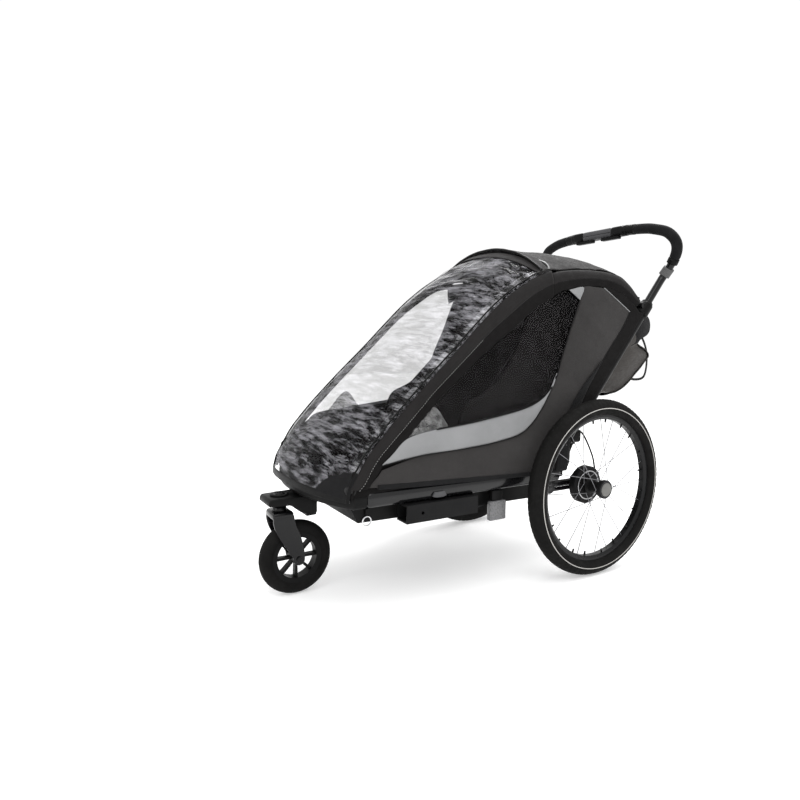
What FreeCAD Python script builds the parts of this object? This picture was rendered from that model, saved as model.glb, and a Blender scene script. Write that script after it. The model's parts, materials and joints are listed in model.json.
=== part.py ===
import FreeCAD, Part
import math
import os
import Sketcher

# Child bicycle trailer in stroller trim.  Millimetres, +Z up, the nose towards -Y, the left side
# towards +X.  Every shape is written in the axle frame: the origin is on the ground below the rear
# axle.  "axle_y" then moves all of it so that the origin is the middle of the footprint.

V = FreeCAD.Vector
doc = FreeCAD.newDocument("child_trailer")
dim = doc.addObject("Spreadsheet::Sheet", "dim")

DIMENSIONS = [
    ("axle_y", 258.0, "rear axle behind the middle of the footprint"),
    ("wheel_radius", 250.0, "20 inch rear wheel over its tyre"),
    ("tyre_section", 25.0, "radius of the rear tyre's round section"),
    ("rim_outer", 207.0, "bead seat radius of the rim"),
    ("rim_inner", 194.0, "radius of the rim's inner wall"),
    ("rim_half_width", 12.5, "half width of the rim"),
    ("track_half", 285.0, "wheel plane from the middle of the trailer"),
    ("spoke_radius", 1.0, "radius of a spoke"),
    ("spoke_pairs", 10.0, "crossed pairs of spokes in a wheel"),
    ("flange_radius", 24.0, "hub flange radius"),
    ("flange_offset", 22.0, "hub flange from the wheel plane"),
    ("hub_radius", 16.0, "hub shell radius"),
    ("hub_cap_radius", 26.0, "outer hub cap radius"),
    ("hub_outer", 35.0, "outer face of the hub from the wheel plane"),
    ("axle_radius", 6.0, "half of the 12 mm quick release axle"),
    ("running_fit", 0.05, "radial clearance of a shaft that turns"),
    ("bearing_radius", 12.0, "outer radius of a wheel bearing"),
    ("bearing_width", 8.0, "width of a wheel bearing"),
    ("button_radius", 19.0, "radius of the wheel release button"),
    ("drum_radius", 54.0, "brake drum radius"),
    ("drum_inner_face", 50.0, "inboard face of the drum from the wheel plane"),
    ("drum_outer_face", 28.0, "outboard face of the drum from the wheel plane"),
    ("pivot_y", -117.0, "swing arm pivot ahead of the axle"),
    ("pivot_height", 249.0, "swing arm pivot above the ground"),
    ("caster_y", -835.0, "swivel axis of the front wheel"),
    ("caster_trail", 48.0, "front wheel centre behind its swivel axis"),
    ("caster_radius", 96.0, "8 inch front wheel over its tyre"),
    ("caster_section", 20.0, "radius of the front tyre's round section"),
    ("caster_rim", 66.0, "bead seat radius of the front wheel"),
    ("caster_rim_inner", 53.0, "inner radius of the front wheel's rim"),
    ("fork_gap_half", 25.0, "inner face of a fork leg from the middle"),
    ("fork_leg_width", 6.0, "thickness of a fork leg"),
    ("rail_x", 212.0, "inner face of a side rail from the middle"),
    ("rail_width", 26.0, "width of a side rail"),
    ("rail_round", 8.0, "edge radius of a side rail"),
    ("nose_radius", 480.0, "plan radius of the rounded nose"),
    ("nose_front", -800.0, "front of the nose"),
    ("nose_back", -704.0, "back end of the nose bumper's side cheeks"),
    ("nose_depth", 30.0, "front to back depth of the nose bumper"),
    ("nose_half_width", 236.0, "half width of the nose bumper"),
    ("nose_low", 268.0, "underside of the nose bumper"),
    ("nose_high", 300.0, "top of the nose bumper"),
    ("tray_half_width", 206.0, "half width of the floor tray"),
    ("tray_wall", 4.0, "wall of the floor tray"),
    ("socket_x", 206.0, "inner face of the tow bar socket"),
    ("socket_width", 46.0, "outer width of the tow bar socket"),
    ("socket_height", 44.0, "outer height of the tow bar socket"),
    ("socket_low", 222.0, "underside of the tow bar socket"),
    ("socket_front", -606.0, "open mouth of the tow bar socket"),
    ("socket_length", 210.0, "length of the tow bar socket"),
    ("socket_wall", 4.0, "wall of the tow bar socket"),
    ("socket_pin", 4.2, "radius of the tow bar's locking pin hole"),
    ("upright_x", 222.0, "axis of an upright from the middle"),
    ("upright_radius", 14.0, "radius of an upright tube"),
    ("tube_wall", 2.0, "wall of the frame's tubes"),
    ("upright_y", -85.0, "fold pivot of the uprights"),
    ("upright_z", 352.0, "height of the fold pivot"),
    ("upright_lean", 50.9, "angle of the uprights above the horizontal, to the rear"),
    ("upright_length", 545.0, "fold pivot to the upper end of an upright"),
    ("handle_reach", 652.0, "fold pivot to the collar of the extended handle"),
    ("handle_radius", 11.8, "radius of the telescoping handle tube"),
    ("grip_radius", 15.0, "radius of the foam grip"),
    ("hoop_x", 226.0, "axis of a hoop tube from the middle"),
    ("hoop_radius", 9.0, "radius of the hoop tube"),
    ("bolt_radius", 5.0, "radius of a frame pivot bolt"),
    ("panel_x", 237.6, "inner face of a side panel"),
    ("panel_thick", 3.0, "thickness of a side panel"),
    ("cover_thick", 3.0, "thickness of the front cover and its mesh"),
    ("roof_thick", 5.0, "thickness of the roof canopy"),
]

for row, (alias, value, note) in enumerate(DIMENSIONS, 1):
    dim.set(f"A{row}", note)
    dim.set(f"B{row}", str(value))
    dim.setAlias(f"B{row}", alias)
doc.recompute()


def size(alias):
    """One driving dimension as a number."""
    return float(dim.get(alias))


def bind(thing, path, rule):
    """Bind a property to an expression over the sheet, or set a plain number."""
    thing.setExpression(path, rule if isinstance(rule, str) else repr(float(rule)))


def value_of(rule):
    """The number that an expression over the sheet stands for."""
    if not isinstance(rule, str):
        return float(rule)
    result = dim.evalExpression(rule)
    return float(getattr(result, "Value", result))


parts = []


def keep(thing, node):
    """Name a finished sub-part; its Label is the name of its file."""
    thing.Label = node
    parts.append(thing)
    return thing


def place(thing, x=0.0, y=0.0, z=0.0, turn=None):
    """Put an object into the trailer's frame; x, y and z may be expressions over the sheet."""
    if turn is not None:
        thing.Placement = FreeCAD.Placement(V(), turn)
    bind(thing, "Placement.Base.x", x)
    bind(thing, "Placement.Base.y", f"dim.axle_y + ({y})")
    bind(thing, "Placement.Base.z", z)


# ---------------------------------------------------------------- PartDesign helpers

def new_body(node):
    return keep(doc.addObject("PartDesign::Body", node), node)


def sketch_on(body, role):
    """An empty sketch on one of the body's own origin planes."""
    plane = next(item for item in body.Origin.OriginFeatures if item.Role == role)
    sketch = body.newObject("Sketcher::SketchObject", "outline")
    sketch.AttachmentSupport = [(plane, "")]
    sketch.MapMode = "FlatFace"
    return sketch


def draw_outline(sketch, corners):
    """A closed outline whose corners are tied to the sheet, one pair of rules for each."""
    first = sketch.GeometryCount
    points = [V(value_of(across), value_of(up), 0) for across, up in corners]
    count = len(points)
    for index in range(count):
        sketch.addGeometry(Part.LineSegment(points[index], points[(index + 1) % count]), False)
    for index in range(count):
        following = first + (index + 1) % count
        sketch.addConstraint(Sketcher.Constraint("Coincident", first + index, 2, following, 1))
    for index, (across, up) in enumerate(corners):
        for kind, rule in (("DistanceX", across), ("DistanceY", up)):
            number = sketch.addConstraint(
                Sketcher.Constraint(kind, -1, 1, first + index, 1, value_of(rule)))
            if isinstance(rule, str):
                sketch.setExpression(f"Constraints[{number}]", rule)


def draw_circle(sketch, across, up, radius):
    """A circle whose centre and radius are tied to the sheet."""
    centre = V(value_of(across), value_of(up), 0)
    circle = sketch.addGeometry(Part.Circle(centre, V(0, 0, 1), value_of(radius)), False)
    rules = [
        (Sketcher.Constraint("Radius", circle, value_of(radius)), radius),
        (Sketcher.Constraint("DistanceX", -1, 1, circle, 3, centre.x), across),
        (Sketcher.Constraint("DistanceY", -1, 1, circle, 3, centre.y), up),
    ]
    for constraint, rule in rules:
        number = sketch.addConstraint(constraint)
        if isinstance(rule, str):
            sketch.setExpression(f"Constraints[{number}]", rule)


def revolve(body, corners=(), circle=None):
    """Turn an outline (along the axis, out from it) about the body's X axis."""
    sketch = sketch_on(body, "XY_Plane")
    if corners:
        draw_outline(sketch, corners)
    if circle:
        draw_circle(sketch, *circle)
    turned = body.newObject("PartDesign::Revolution", "turned")
    turned.Profile = sketch
    turned.ReferenceAxis = (sketch, ["H_Axis"])
    turned.Angle = 360
    body.Tip = turned
    sketch.Visibility = False
    return turned


def groove(body, corners):
    """Turn an outline about the body's X axis and take it away."""
    sketch = sketch_on(body, "XY_Plane")
    draw_outline(sketch, corners)
    cut = body.newObject("PartDesign::Groove", "turned_cut")
    cut.Profile = sketch
    cut.ReferenceAxis = (sketch, ["H_Axis"])
    cut.Angle = 360
    body.Tip = cut
    sketch.Visibility = False
    return cut


def pad(body, role, length, corners=(), circle=None, middle=False):
    """A pad of an outline or circle on an origin plane."""
    sketch = sketch_on(body, role)
    if corners:
        draw_outline(sketch, corners)
    if circle:
        draw_circle(sketch, *circle)
    raised = body.newObject("PartDesign::Pad", "pad")
    raised.Profile = sketch
    raised.Midplane = middle
    bind(raised, "Length", length)
    body.Tip = raised
    sketch.Visibility = False
    return raised


def pocket(body, role, corners=(), circle=None):
    """A pocket right through the body, both ways from an origin plane."""
    doc.recompute()
    before = body.Shape.Volume
    sketch = sketch_on(body, role)
    if corners:
        draw_outline(sketch, corners)
    if circle:
        draw_circle(sketch, *circle)
    cut = body.newObject("PartDesign::Pocket", "pocket")
    cut.Profile = sketch
    cut.Type = 1
    cut.Midplane = True
    body.Tip = cut
    sketch.Visibility = False
    doc.recompute()
    if body.Shape.Volume >= before - 1e-6:
        raise RuntimeError(f"{body.Label}: a pocket cuts nothing")
    return cut


def soften(body, radius, chosen):
    """Round the edges of the body's last feature that a test picks out."""
    doc.recompute()
    tip = body.Tip
    names = [f"Edge{index}" for index, edge in enumerate(tip.Shape.Edges, 1) if chosen(edge)]
    rounded = body.newObject("PartDesign::Fillet", "rounded")
    rounded.Base = (tip, names)
    bind(rounded, "Radius", radius)
    body.Tip = rounded
    return rounded


def runs_along(edge, direction):
    """Whether a straight edge is parallel to a direction."""
    if len(edge.Vertexes) < 2 or not isinstance(edge.Curve, Part.Line):
        return False
    return abs((edge.Vertexes[1].Point - edge.Vertexes[0].Point).normalize().dot(direction)) > 0.999


# ---------------------------------------------------------------- Part helpers

def joined(kind, name, *shapes):
    """A Part boolean over other objects of the document."""
    result = doc.addObject(kind, name)
    if kind == "Part::MultiFuse" or kind == "Part::Compound":
        setattr(result, "Shapes" if kind == "Part::MultiFuse" else "Links", list(shapes))
    else:
        result.Base, result.Tool = shapes
    return result


def box(name, x, y, z, length, width, height, turn=None):
    """A box from its lowest corner; all rules over the sheet."""
    thing = doc.addObject("Part::Box", name)
    for path, rule in (("Length", length), ("Width", width), ("Height", height)):
        bind(thing, path, rule)
    place(thing, x, y, z, turn)
    return thing


def rod(name, x, y, z, radius, length, axis="X"):
    """A cylinder that starts at a point and runs along +X, +Y or +Z."""
    thing = doc.addObject("Part::Cylinder", name)
    bind(thing, "Radius", radius)
    bind(thing, "Height", length)
    turns = {"X": FreeCAD.Rotation(V(0, 1, 0), 90), "Y": FreeCAD.Rotation(V(1, 0, 0), -90),
             "Z": FreeCAD.Rotation()}
    place(thing, x, y, z, turns[axis])
    return thing


def feature(node, shape):
    """A sub-part whose shape Part's own functions make, in the axle frame."""
    thing = doc.addObject("Part::Feature", node)
    thing.Shape = shape
    bind(thing, "Placement.Base.y", "dim.axle_y")
    return keep(thing, node)


def bent_path(points, share=0.45):
    """Straight runs joined by tangent arcs, each as large as its two runs allow."""
    edges = []
    start = points[0]
    radii = []
    for before, corner, after in zip(points, points[1:], points[2:]):
        back = before - corner
        ahead = after - corner
        reach = share * min(back.Length, ahead.Length)
        back.normalize()
        ahead.normalize()
        half_turn = (math.pi - back.getAngle(ahead)) / 2
        radius = reach / math.tan(half_turn)
        radii.append(radius)
        arc_start = corner + back * reach
        arc_end = corner + ahead * reach
        middle = corner + (back + ahead).normalize() * (radius / math.cos(half_turn) - radius)
        edges.append(Part.LineSegment(start, arc_start).toShape())
        edges.append(Part.Arc(arc_start, middle, arc_end).toShape())
        start = arc_end
    edges.append(Part.LineSegment(start, points[-1]).toShape())
    return Part.Wire(edges), radii


def tube(points, radius, wall=0.0, share=0.45):
    """A round tube or bar along straight runs and tangent arcs."""
    path, _ = bent_path(points, share)
    direction = points[1] - points[0]

    def bar(bar_radius):
        ring = Part.Wire(Part.Circle(points[0], direction, bar_radius).toShape())
        return path.makePipeShell([ring], True, False)

    solid = bar(radius)
    if wall:
        solid = solid.cut(bar(radius - wall))
    return solid


def mirrored(point):
    return V(-point.x, point.y, point.z)


def strip_section(centre, normal, half_width, bulge, thick):
    """A thin crowned strip across the trailer: two arcs and two short ends."""
    left = V(half_width, centre.y, centre.z)
    right = mirrored(left)
    crown = centre + normal * bulge
    drop = normal * -thick
    upper = Part.Arc(right, crown, left).toShape()
    lower = Part.Arc(left + drop, crown + drop, right + drop).toShape()
    ends = [Part.LineSegment(left, left + drop).toShape(),
            Part.LineSegment(right + drop, right).toShape()]
    return Part.Wire([upper, ends[0], lower, ends[1]])


def crowned_skin(stations, half_width, thick):
    """A closed thin skin lofted over stations of (y, z, bulge), crowned across the trailer."""
    sections = []
    for index, (y, z, bulge) in enumerate(stations):
        before = stations[max(index - 1, 0)]
        after = stations[min(index + 1, len(stations) - 1)]
        along = V(0, after[0] - before[0], after[1] - before[1]).normalize()
        normal = V(0, -along.z, along.y)
        sections.append(strip_section(V(0, y, z), normal, half_width, bulge, thick))
    return Part.makeLoft(sections, True, False)


SIDES = (("left", 1), ("right", -1))
ABOUT_Z = FreeCAD.Rotation(V(0, 0, 1), 180)
ACROSS = V(1, 0, 0)


# ---------------------------------------------------------------- rear wheels

def wheel_body(node, sign):
    """A body turned about the axle: its own X runs outboard from the wheel plane."""
    body = new_body(node)
    place(body, f"{sign} * dim.track_half", 0, "dim.wheel_radius",
          FreeCAD.Rotation() if sign > 0 else ABOUT_Z)
    return body


def spokes(sign):
    """Crossed pairs of straight spokes from the two hub flanges to the rim, as separate bars."""
    pairs = int(size("spoke_pairs"))
    hub_radius = size("flange_radius") + 1.1
    rim_radius = size("rim_inner") - 0.5
    centre = V(sign * size("track_half"), 0, size("wheel_radius"))
    bars = []
    for index in range(2 * pairs):
        side = 1 if index % 2 else -1
        crossing = 58.0 if (index // 2) % 2 else -58.0
        rim_angle = math.radians(360.0 * index / (2 * pairs))
        hub_angle = rim_angle + math.radians(crossing)
        start = centre + V(side * size("flange_offset"), hub_radius * math.cos(hub_angle),
                           hub_radius * math.sin(hub_angle))
        end = centre + V(side * 4.0, rim_radius * math.cos(rim_angle),
                         rim_radius * math.sin(rim_angle))
        bars.append(Part.makeCylinder(size("spoke_radius"), (end - start).Length, start,
                                      end - start))
    return Part.makeCompound(bars)


for side, sign in SIDES:
    tyre = wheel_body(f"{side}_tyre", sign)
    revolve(tyre, circle=(0, "dim.wheel_radius - dim.tyre_section", "dim.tyre_section"))
    groove(tyre, [(-30, "dim.rim_outer - 12"), (30, "dim.rim_outer - 12"),
                  (30, "dim.rim_outer"), (-30, "dim.rim_outer")])
    groove(tyre, [(-9, "dim.rim_outer - 1"), (9, "dim.rim_outer - 1"),
                  (16, "dim.rim_outer + 22"), (9, "dim.rim_outer + 34"),
                  (-9, "dim.rim_outer + 34"), (-16, "dim.rim_outer + 22")])

    rim = wheel_body(f"{side}_rim", sign)
    revolve(rim, [("-dim.rim_half_width", "dim.rim_outer"),
                  ("-dim.rim_half_width", "dim.rim_outer - 6"),
                  (-8, "dim.rim_inner"), (8, "dim.rim_inner"),
                  ("dim.rim_half_width", "dim.rim_outer - 6"),
                  ("dim.rim_half_width", "dim.rim_outer"),
                  ("dim.rim_half_width - 2.5", "dim.rim_outer"),
                  (6, "dim.rim_inner + 4"), (-6, "dim.rim_inner + 4"),
                  ("2.5 - dim.rim_half_width", "dim.rim_outer")])

    feature(f"{side}_spokes", spokes(sign))

    # The hub shell turns on the axle; its two bearings are pressed in from the ends.
    bore = "dim.axle_radius + dim.running_fit"
    hub = wheel_body(f"{side}_hub", sign)
    revolve(hub, [
        ("-dim.drum_outer_face", "dim.bearing_radius"),
        ("-dim.drum_outer_face", "dim.flange_radius"),
        ("-dim.flange_offset - 2", "dim.flange_radius"),
        ("3 - dim.flange_offset", "dim.flange_radius"),
        ("6 - dim.flange_offset", "dim.hub_radius"),
        ("dim.flange_offset - 6", "dim.hub_radius"),
        ("dim.flange_offset - 3", "dim.flange_radius"),
        ("dim.flange_offset + 2", "dim.flange_radius"),
        ("dim.flange_offset + 3", "dim.hub_cap_radius"),
        ("dim.hub_outer - 2", "dim.hub_cap_radius"),
        ("dim.hub_outer", "dim.hub_cap_radius - 2"),
        ("dim.hub_outer", "dim.button_radius + 0.6"),
        ("dim.hub_outer - 8", "dim.button_radius + 0.6"),
        ("dim.hub_outer - 8", "dim.bearing_radius"),
        ("dim.hub_outer - 8 - dim.bearing_width", "dim.bearing_radius"),
        ("dim.hub_outer - 8 - dim.bearing_width", "dim.axle_radius + 2"),
        ("dim.bearing_width - dim.drum_outer_face", "dim.axle_radius + 2"),
        ("dim.bearing_width - dim.drum_outer_face", "dim.bearing_radius"),
    ])

    bearings = wheel_body(f"{side}_wheel_bearings", sign)
    for inboard in ("-dim.drum_outer_face", "dim.hub_outer - 8 - dim.bearing_width"):
        revolve(bearings, [(inboard, bore), (f"{inboard} + dim.bearing_width", bore),
                           (f"{inboard} + dim.bearing_width", "dim.bearing_radius"),
                           (inboard, "dim.bearing_radius")])

    drum = wheel_body(f"{side}_brake_drum", sign)
    revolve(drum, [
        ("-dim.drum_outer_face", "dim.axle_radius + 2"),
        ("-dim.drum_outer_face", "dim.drum_radius - 4"),
        ("-dim.drum_outer_face - 4", "dim.drum_radius"),
        ("-dim.drum_inner_face", "dim.drum_radius"),
        ("-dim.drum_inner_face", "dim.drum_radius - 5"),
        ("-dim.drum_outer_face - 5", "dim.drum_radius - 5"),
        ("-dim.drum_outer_face - 5", "dim.axle_radius + 2"),
    ])

    # The axle is fixed in the swing arm and ends in the recess of the hub cap.
    axle = wheel_body(f"{side}_axle", sign)
    revolve(axle, [(-78, 0), ("dim.hub_outer - 7.8", 0), ("dim.hub_outer - 7.8", "dim.axle_radius"),
                   (-60, "dim.axle_radius"), (-60, 9), (-78, 9)])

    button = wheel_body(f"{side}_release_button", sign)
    revolve(button, [("dim.hub_outer - 3.5", 0), ("dim.hub_outer + 3", 0),
                     ("dim.hub_outer + 3", "dim.button_radius - 2"),
                     ("dim.hub_outer + 1", "dim.button_radius"),
                     ("dim.hub_outer - 3.5", "dim.button_radius")])

    plate = wheel_body(f"{side}_brake_backplate", sign)
    revolve(plate, [("-dim.drum_inner_face - 1", 9.2), ("-dim.drum_inner_face - 1", 48),
                    ("-dim.drum_inner_face - 6", 48), ("-dim.drum_inner_face - 9", 30),
                    ("-dim.drum_inner_face - 9", 9.2)])


# ---------------------------------------------------------------- swing arms and brakes

for side, sign in SIDES:
    # One welded arm: pivot sleeve, thick upper tube, thin lower tube and axle plate.
    arm_x = sign * 212
    plate_start = V(207 if sign > 0 else -223, 0, size("wheel_radius"))
    pivot = V(0, size("pivot_y"), size("pivot_height"))
    sleeve_centre = V(sign * 206, pivot.y, pivot.z)
    sleeve = Part.makeCylinder(19, 36, sleeve_centre - V(18, 0, 0), ACROSS)
    upper = Part.makeCylinder(9.5, 100, V(arm_x, pivot.y + 2, pivot.z + 5), V(0, 1, 0))
    lower = Part.makeCylinder(6, 100, V(arm_x, pivot.y + 2, pivot.z - 11.5), V(0, 1, 0))
    axle_plate = Part.makeCylinder(27, 16, plate_start, ACROSS)
    arm = sleeve.fuse([upper, lower, axle_plate]).removeSplitter()
    pivot_bore = Part.makeCylinder(10.05, 60, sleeve_centre - V(30, 0, 0), ACROSS)
    axle_bore = Part.makeCylinder(9.2, 40, plate_start - V(12, 0, 0), ACROSS)
    feature(f"{side}_swing_arm", arm.cut(pivot_bore).cut(axle_bore))

    lever = new_body(f"{side}_brake_lever")
    place(lever, 186 if sign > 0 else -200, 0, 0)
    pad(lever, "YZ_Plane", 14, [(-16, 366), (14, 366), (17, 384), (8, 393), (-14, 390), (-20, 374),
                                (-22, 352), (-30, 326), (-50, 312), (-44, 300), (-16, 312),
                                (-7, 338)])
    pocket(lever, "YZ_Plane", circle=(0, 382, "4 + dim.running_fit"))


def housing(sign):
    """A brake lever housing: two cheeks, a roof, the lever's pin and a carrying arm."""
    cheeks = Part.makeBox(24, 54, 40, V(181 if sign > 0 else -205, -29, 362))
    slot = Part.makeBox(16, 60, 34, V(185 if sign > 0 else -201, -32, 361))
    pin = Part.makeCylinder(4, 24, V(181 if sign > 0 else -205, 0, 382), ACROSS)
    arm = Part.makeBox(4, 56, 14, V(201 if sign > 0 else -205, -83.6, 362))
    return cheeks.cut(slot).fuse([pin, arm])


feature("brake_lever_housings", Part.makeCompound([housing(sign) for _, sign in SIDES]))


def cable_route(sign):
    """The brake cable's route, from the lever housing round to the brake's back plate."""
    return [V(sign * 193, 26.5, 396), V(sign * 194, 41, 384), V(sign * 202, 56, 352),
            V(sign * 213, 66, 314), V(sign * 222, 64, 282)]


cables = []
for _, sign in SIDES:
    route = cable_route(sign)
    cables.append(tube(route, 2.5))
    print("cable arcs", [round(radius) for radius in bent_path(route)[1]])
feature("brake_cables", Part.makeCompound(cables))


# ---------------------------------------------------------------- chassis

for side, sign in SIDES:
    rail = new_body(f"{side}_side_rail")
    start = "dim.rail_x" if sign > 0 else "-dim.rail_x - dim.rail_width"
    place(rail, start, 0, 0)
    pad(rail, "YZ_Plane", "dim.rail_width",
        [(-703, 270), (-703, 306), (-215, 296), (-92, 298), (-90, 272), (-215, 267), (-640, 268)])
    soften(rail, "dim.rail_round", lambda edge: not runs_along(edge, ACROSS))

def nose_outline(sketch):
    """A bow across the nose with two short cheeks that run back to the side rails."""
    centre = V(0, size("nose_front") + size("nose_radius"), 0)
    back = size("nose_back")
    geometry = []
    for radius, half in ((size("nose_radius"), size("nose_half_width")),
                         (size("nose_radius") - size("nose_depth"),
                          size("nose_half_width") - size("nose_depth"))):
        reach_y = centre.y - math.sqrt(radius ** 2 - half ** 2)
        swing = math.asin(half / radius)
        arc = Part.ArcOfCircle(Part.Circle(centre, V(0, 0, 1), radius),
                               -math.pi / 2 - swing, -math.pi / 2 + swing)
        geometry.append(sketch.addGeometry(arc, False))
        for flip in (-1, 1):
            line = Part.LineSegment(V(flip * half, reach_y, 0), V(flip * half, back, 0))
            geometry.append(sketch.addGeometry(line, False))
    outer_arc, outer_left, outer_right, inner_arc, inner_left, inner_right = geometry
    for arc, left, right in ((outer_arc, outer_left, outer_right),
                             (inner_arc, inner_left, inner_right)):
        sketch.addConstraint(Sketcher.Constraint("Coincident", arc, 1, left, 1))
        sketch.addConstraint(Sketcher.Constraint("Coincident", arc, 2, right, 1))
        sketch.addConstraint(Sketcher.Constraint("Vertical", left))
        sketch.addConstraint(Sketcher.Constraint("Vertical", right))
    for outer, inner, flip in ((outer_left, inner_left, -1), (outer_right, inner_right, 1)):
        half = size("nose_half_width")
        end = sketch.addGeometry(Part.LineSegment(
            V(flip * half, back, 0), V(flip * (half - size("nose_depth")), back, 0)), False)
        sketch.addConstraint(Sketcher.Constraint("Coincident", end, 1, outer, 2))
        sketch.addConstraint(Sketcher.Constraint("Coincident", end, 2, inner, 2))
        sketch.addConstraint(Sketcher.Constraint("Horizontal", end))
    for arc, rule in ((outer_arc, "dim.nose_radius"),
                      (inner_arc, "dim.nose_radius - dim.nose_depth")):
        number = sketch.addConstraint(Sketcher.Constraint("Radius", arc, value_of(rule)))
        sketch.setExpression(f"Constraints[{number}]", rule)


HOOP_PIVOT = V(0, -744, 314)
nose = new_body("nose_bumper_bow")
place(nose, 0, 0, "dim.nose_low")
nose_sketch = sketch_on(nose, "XY_Plane")
nose_outline(nose_sketch)
nose_pad = nose.newObject("PartDesign::Pad", "pad")
nose_pad.Profile = nose_sketch
bind(nose_pad, "Length", "dim.nose_high - dim.nose_low")
nose.Tip = nose_pad
soften(nose, 8, lambda edge: abs(edge.CenterOfMass.z - edge.BoundBox.ZMin) < 0.01)
parts.remove(nose)
nose_lugs = [
    joined("Part::Cut", f"{side}_nose_lug",
           box(f"{side}_nose_lug_plate", 206 if sign > 0 else -212, HOOP_PIVOT.y - 11, 290, 6, 22,
               35),
           rod(f"{side}_nose_lug_hole", 200 if sign > 0 else -220, HOOP_PIVOT.y, HOOP_PIVOT.z,
               "dim.bolt_radius", 20))
    for side, sign in SIDES]
keep(joined("Part::MultiFuse", "nose_bumper_whole", nose, *nose_lugs), "nose_bumper")

tray = new_body("floor_tray")
place(tray, 0, 0, 0)
TRAY = [(-730, 262), (-712, 228), (-400, 224), (-136, 222), (-136, 262)]
pad(tray, "YZ_Plane", "2 * dim.tray_half_width", TRAY, middle=True)
doc.recompute()
inside = new_body("tray_hollow")
parts.remove(inside)
inside.Label = "tray_hollow_block"
place(inside, 0, 0, 0)
pad(inside, "YZ_Plane", "2 * (dim.tray_half_width - dim.tray_wall)",
    [(-726, 263), (-709, 232), (-400, 228), (-140, 226), (-140, 263)], middle=True)
parts.remove(tray)
tray.Label = "tray_block"
tray_pan = joined("Part::Cut", "floor_tray_pan", tray, inside)
tether_tab = box("tether_tab", "dim.tray_half_width - 1", -695, 245.4, 7, 10, 15)
keep(joined("Part::MultiFuse", "floor_tray_whole", tray_pan, tether_tab), "floor_tray")

# Tube across the trailer that carries both swing arms on its stub ends.
hangers = []
for low, inner_low in ((165, 187), (-187, -198.5)):
    hangers.append(box("pivot_hanger", low, "dim.pivot_y - 14", "dim.pivot_height + 8", 22, 28, 34))
    hangers.append(box("pivot_hanger_ear", inner_low, "dim.pivot_y - 14",
                       "dim.pivot_height + 20.5", 11.5, 28, 21.5))
cross = joined("Part::MultiFuse", "pivot_tube_whole",
               rod("pivot_tube", -187, "dim.pivot_y", "dim.pivot_height", 16, 374),
               rod("pivot_stub", -224, "dim.pivot_y", "dim.pivot_height", 10, 448), *hangers)
keep(cross, "pivot_cross_tube")

socket_block = joined("Part::Cut", "socket_hollow",
                      box("socket_outer", "dim.socket_x", "dim.socket_front", "dim.socket_low",
                          "dim.socket_width", "dim.socket_length", "dim.socket_height"),
                      box("socket_inner", "dim.socket_x + dim.socket_wall",
                          "dim.socket_front - 5", "dim.socket_low + dim.socket_wall",
                          "dim.socket_width - 2 * dim.socket_wall", "dim.socket_length",
                          "dim.socket_height - 2 * dim.socket_wall"))
socket = joined("Part::Cut", "socket_drilled", socket_block,
                rod("socket_pin_hole", "dim.socket_x - 5", "dim.socket_front + 45",
                    "dim.socket_low + dim.socket_height / 2", "dim.socket_pin",
                    "dim.socket_width + 10"))
keep(socket, "tow_socket")

lock_button = new_body("tow_lock_button")
place(lock_button, "dim.rail_x + dim.rail_width + 0.4", -507, 281)
pad(lock_button, "YZ_Plane", 5, [(-20, -4), (-10, -7), (10, -7), (20, -4), (14, 6), (-14, 6)])

arm_bracket = new_body("caster_arm")
place(arm_bracket, 0, 0, 0)
pad(arm_bracket, "YZ_Plane", 80,
    [(-884, 241), (-884, 259), (-760, 262), (-742, 262), (-742, 214), (-752, 212), (-784, 219),
     (-812, 241)], middle=True)
pocket(arm_bracket, "XY_Plane", circle=(0, "dim.caster_y", "8 + dim.running_fit"))
soften(arm_bracket, 22, lambda edge: runs_along(edge, V(0, 0, 1)) and edge.Length < 30)

clip_outline = [V(-22, y, z) for y, z in (
    (-764, 204), (-742, 204.6), (-742, 211.4), (-752, 211.6), (-766, 214.4))]
clip_plate = Part.Face(Part.makePolygon(clip_outline + clip_outline[:1])).extrude(V(44, 0, 0))
clip_barrel = Part.makeCylinder(3.4, 44, V(-22, -741, 208), ACROSS)
feature("caster_release_clip", clip_plate.fuse(clip_barrel).removeSplitter())


def fold_bracket(sign):
    """A plate that carries an upright's pivot bolt above the side rail."""
    outline = [V(0, -148, 273), V(0, -58, 273), V(0, -66, 356), V(0, -85, 361.5), V(0, -106, 358)]
    face = Part.Face(Part.makePolygon(outline + outline[:1]))
    solid = face.extrude(V(7, 0, 0))
    solid.translate(V(199 if sign > 0 else -206, 0, 0))
    foot = Part.makeBox(13, 90, 18, V(199 if sign > 0 else -212, -148, 273))
    solid = solid.fuse(foot)
    bolt = Part.makeCylinder(size("bolt_radius"), 20,
                             V(193 if sign > 0 else -213, size("upright_y"), size("upright_z")),
                             ACROSS)
    return solid.cut(bolt)


def pivot_bolts():
    """The shouldered bolts of the two lower fold pivots, and the hoop's two at the nose."""
    solids = []
    for _, sign in SIDES:
        for start, end, y, z in ((199, 236.5, size("upright_y"), size("upright_z")),
                                 (206, 236.5, HOOP_PIVOT.y, HOOP_PIVOT.z)):
            low = start if sign > 0 else -end
            shank = Part.makeCylinder(size("bolt_radius"), end - start, V(low, y, z), ACROSS)
            head_at = start - 4 if sign > 0 else -start
            head = Part.makeCylinder(8, 4, V(head_at, y, z), ACROSS)
            solids.append(shank.fuse(head))
    return Part.makeCompound(solids)


feature("fold_brackets", Part.makeCompound([fold_bracket(sign) for _, sign in SIDES]))
feature("pivot_bolts", pivot_bolts())


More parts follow.
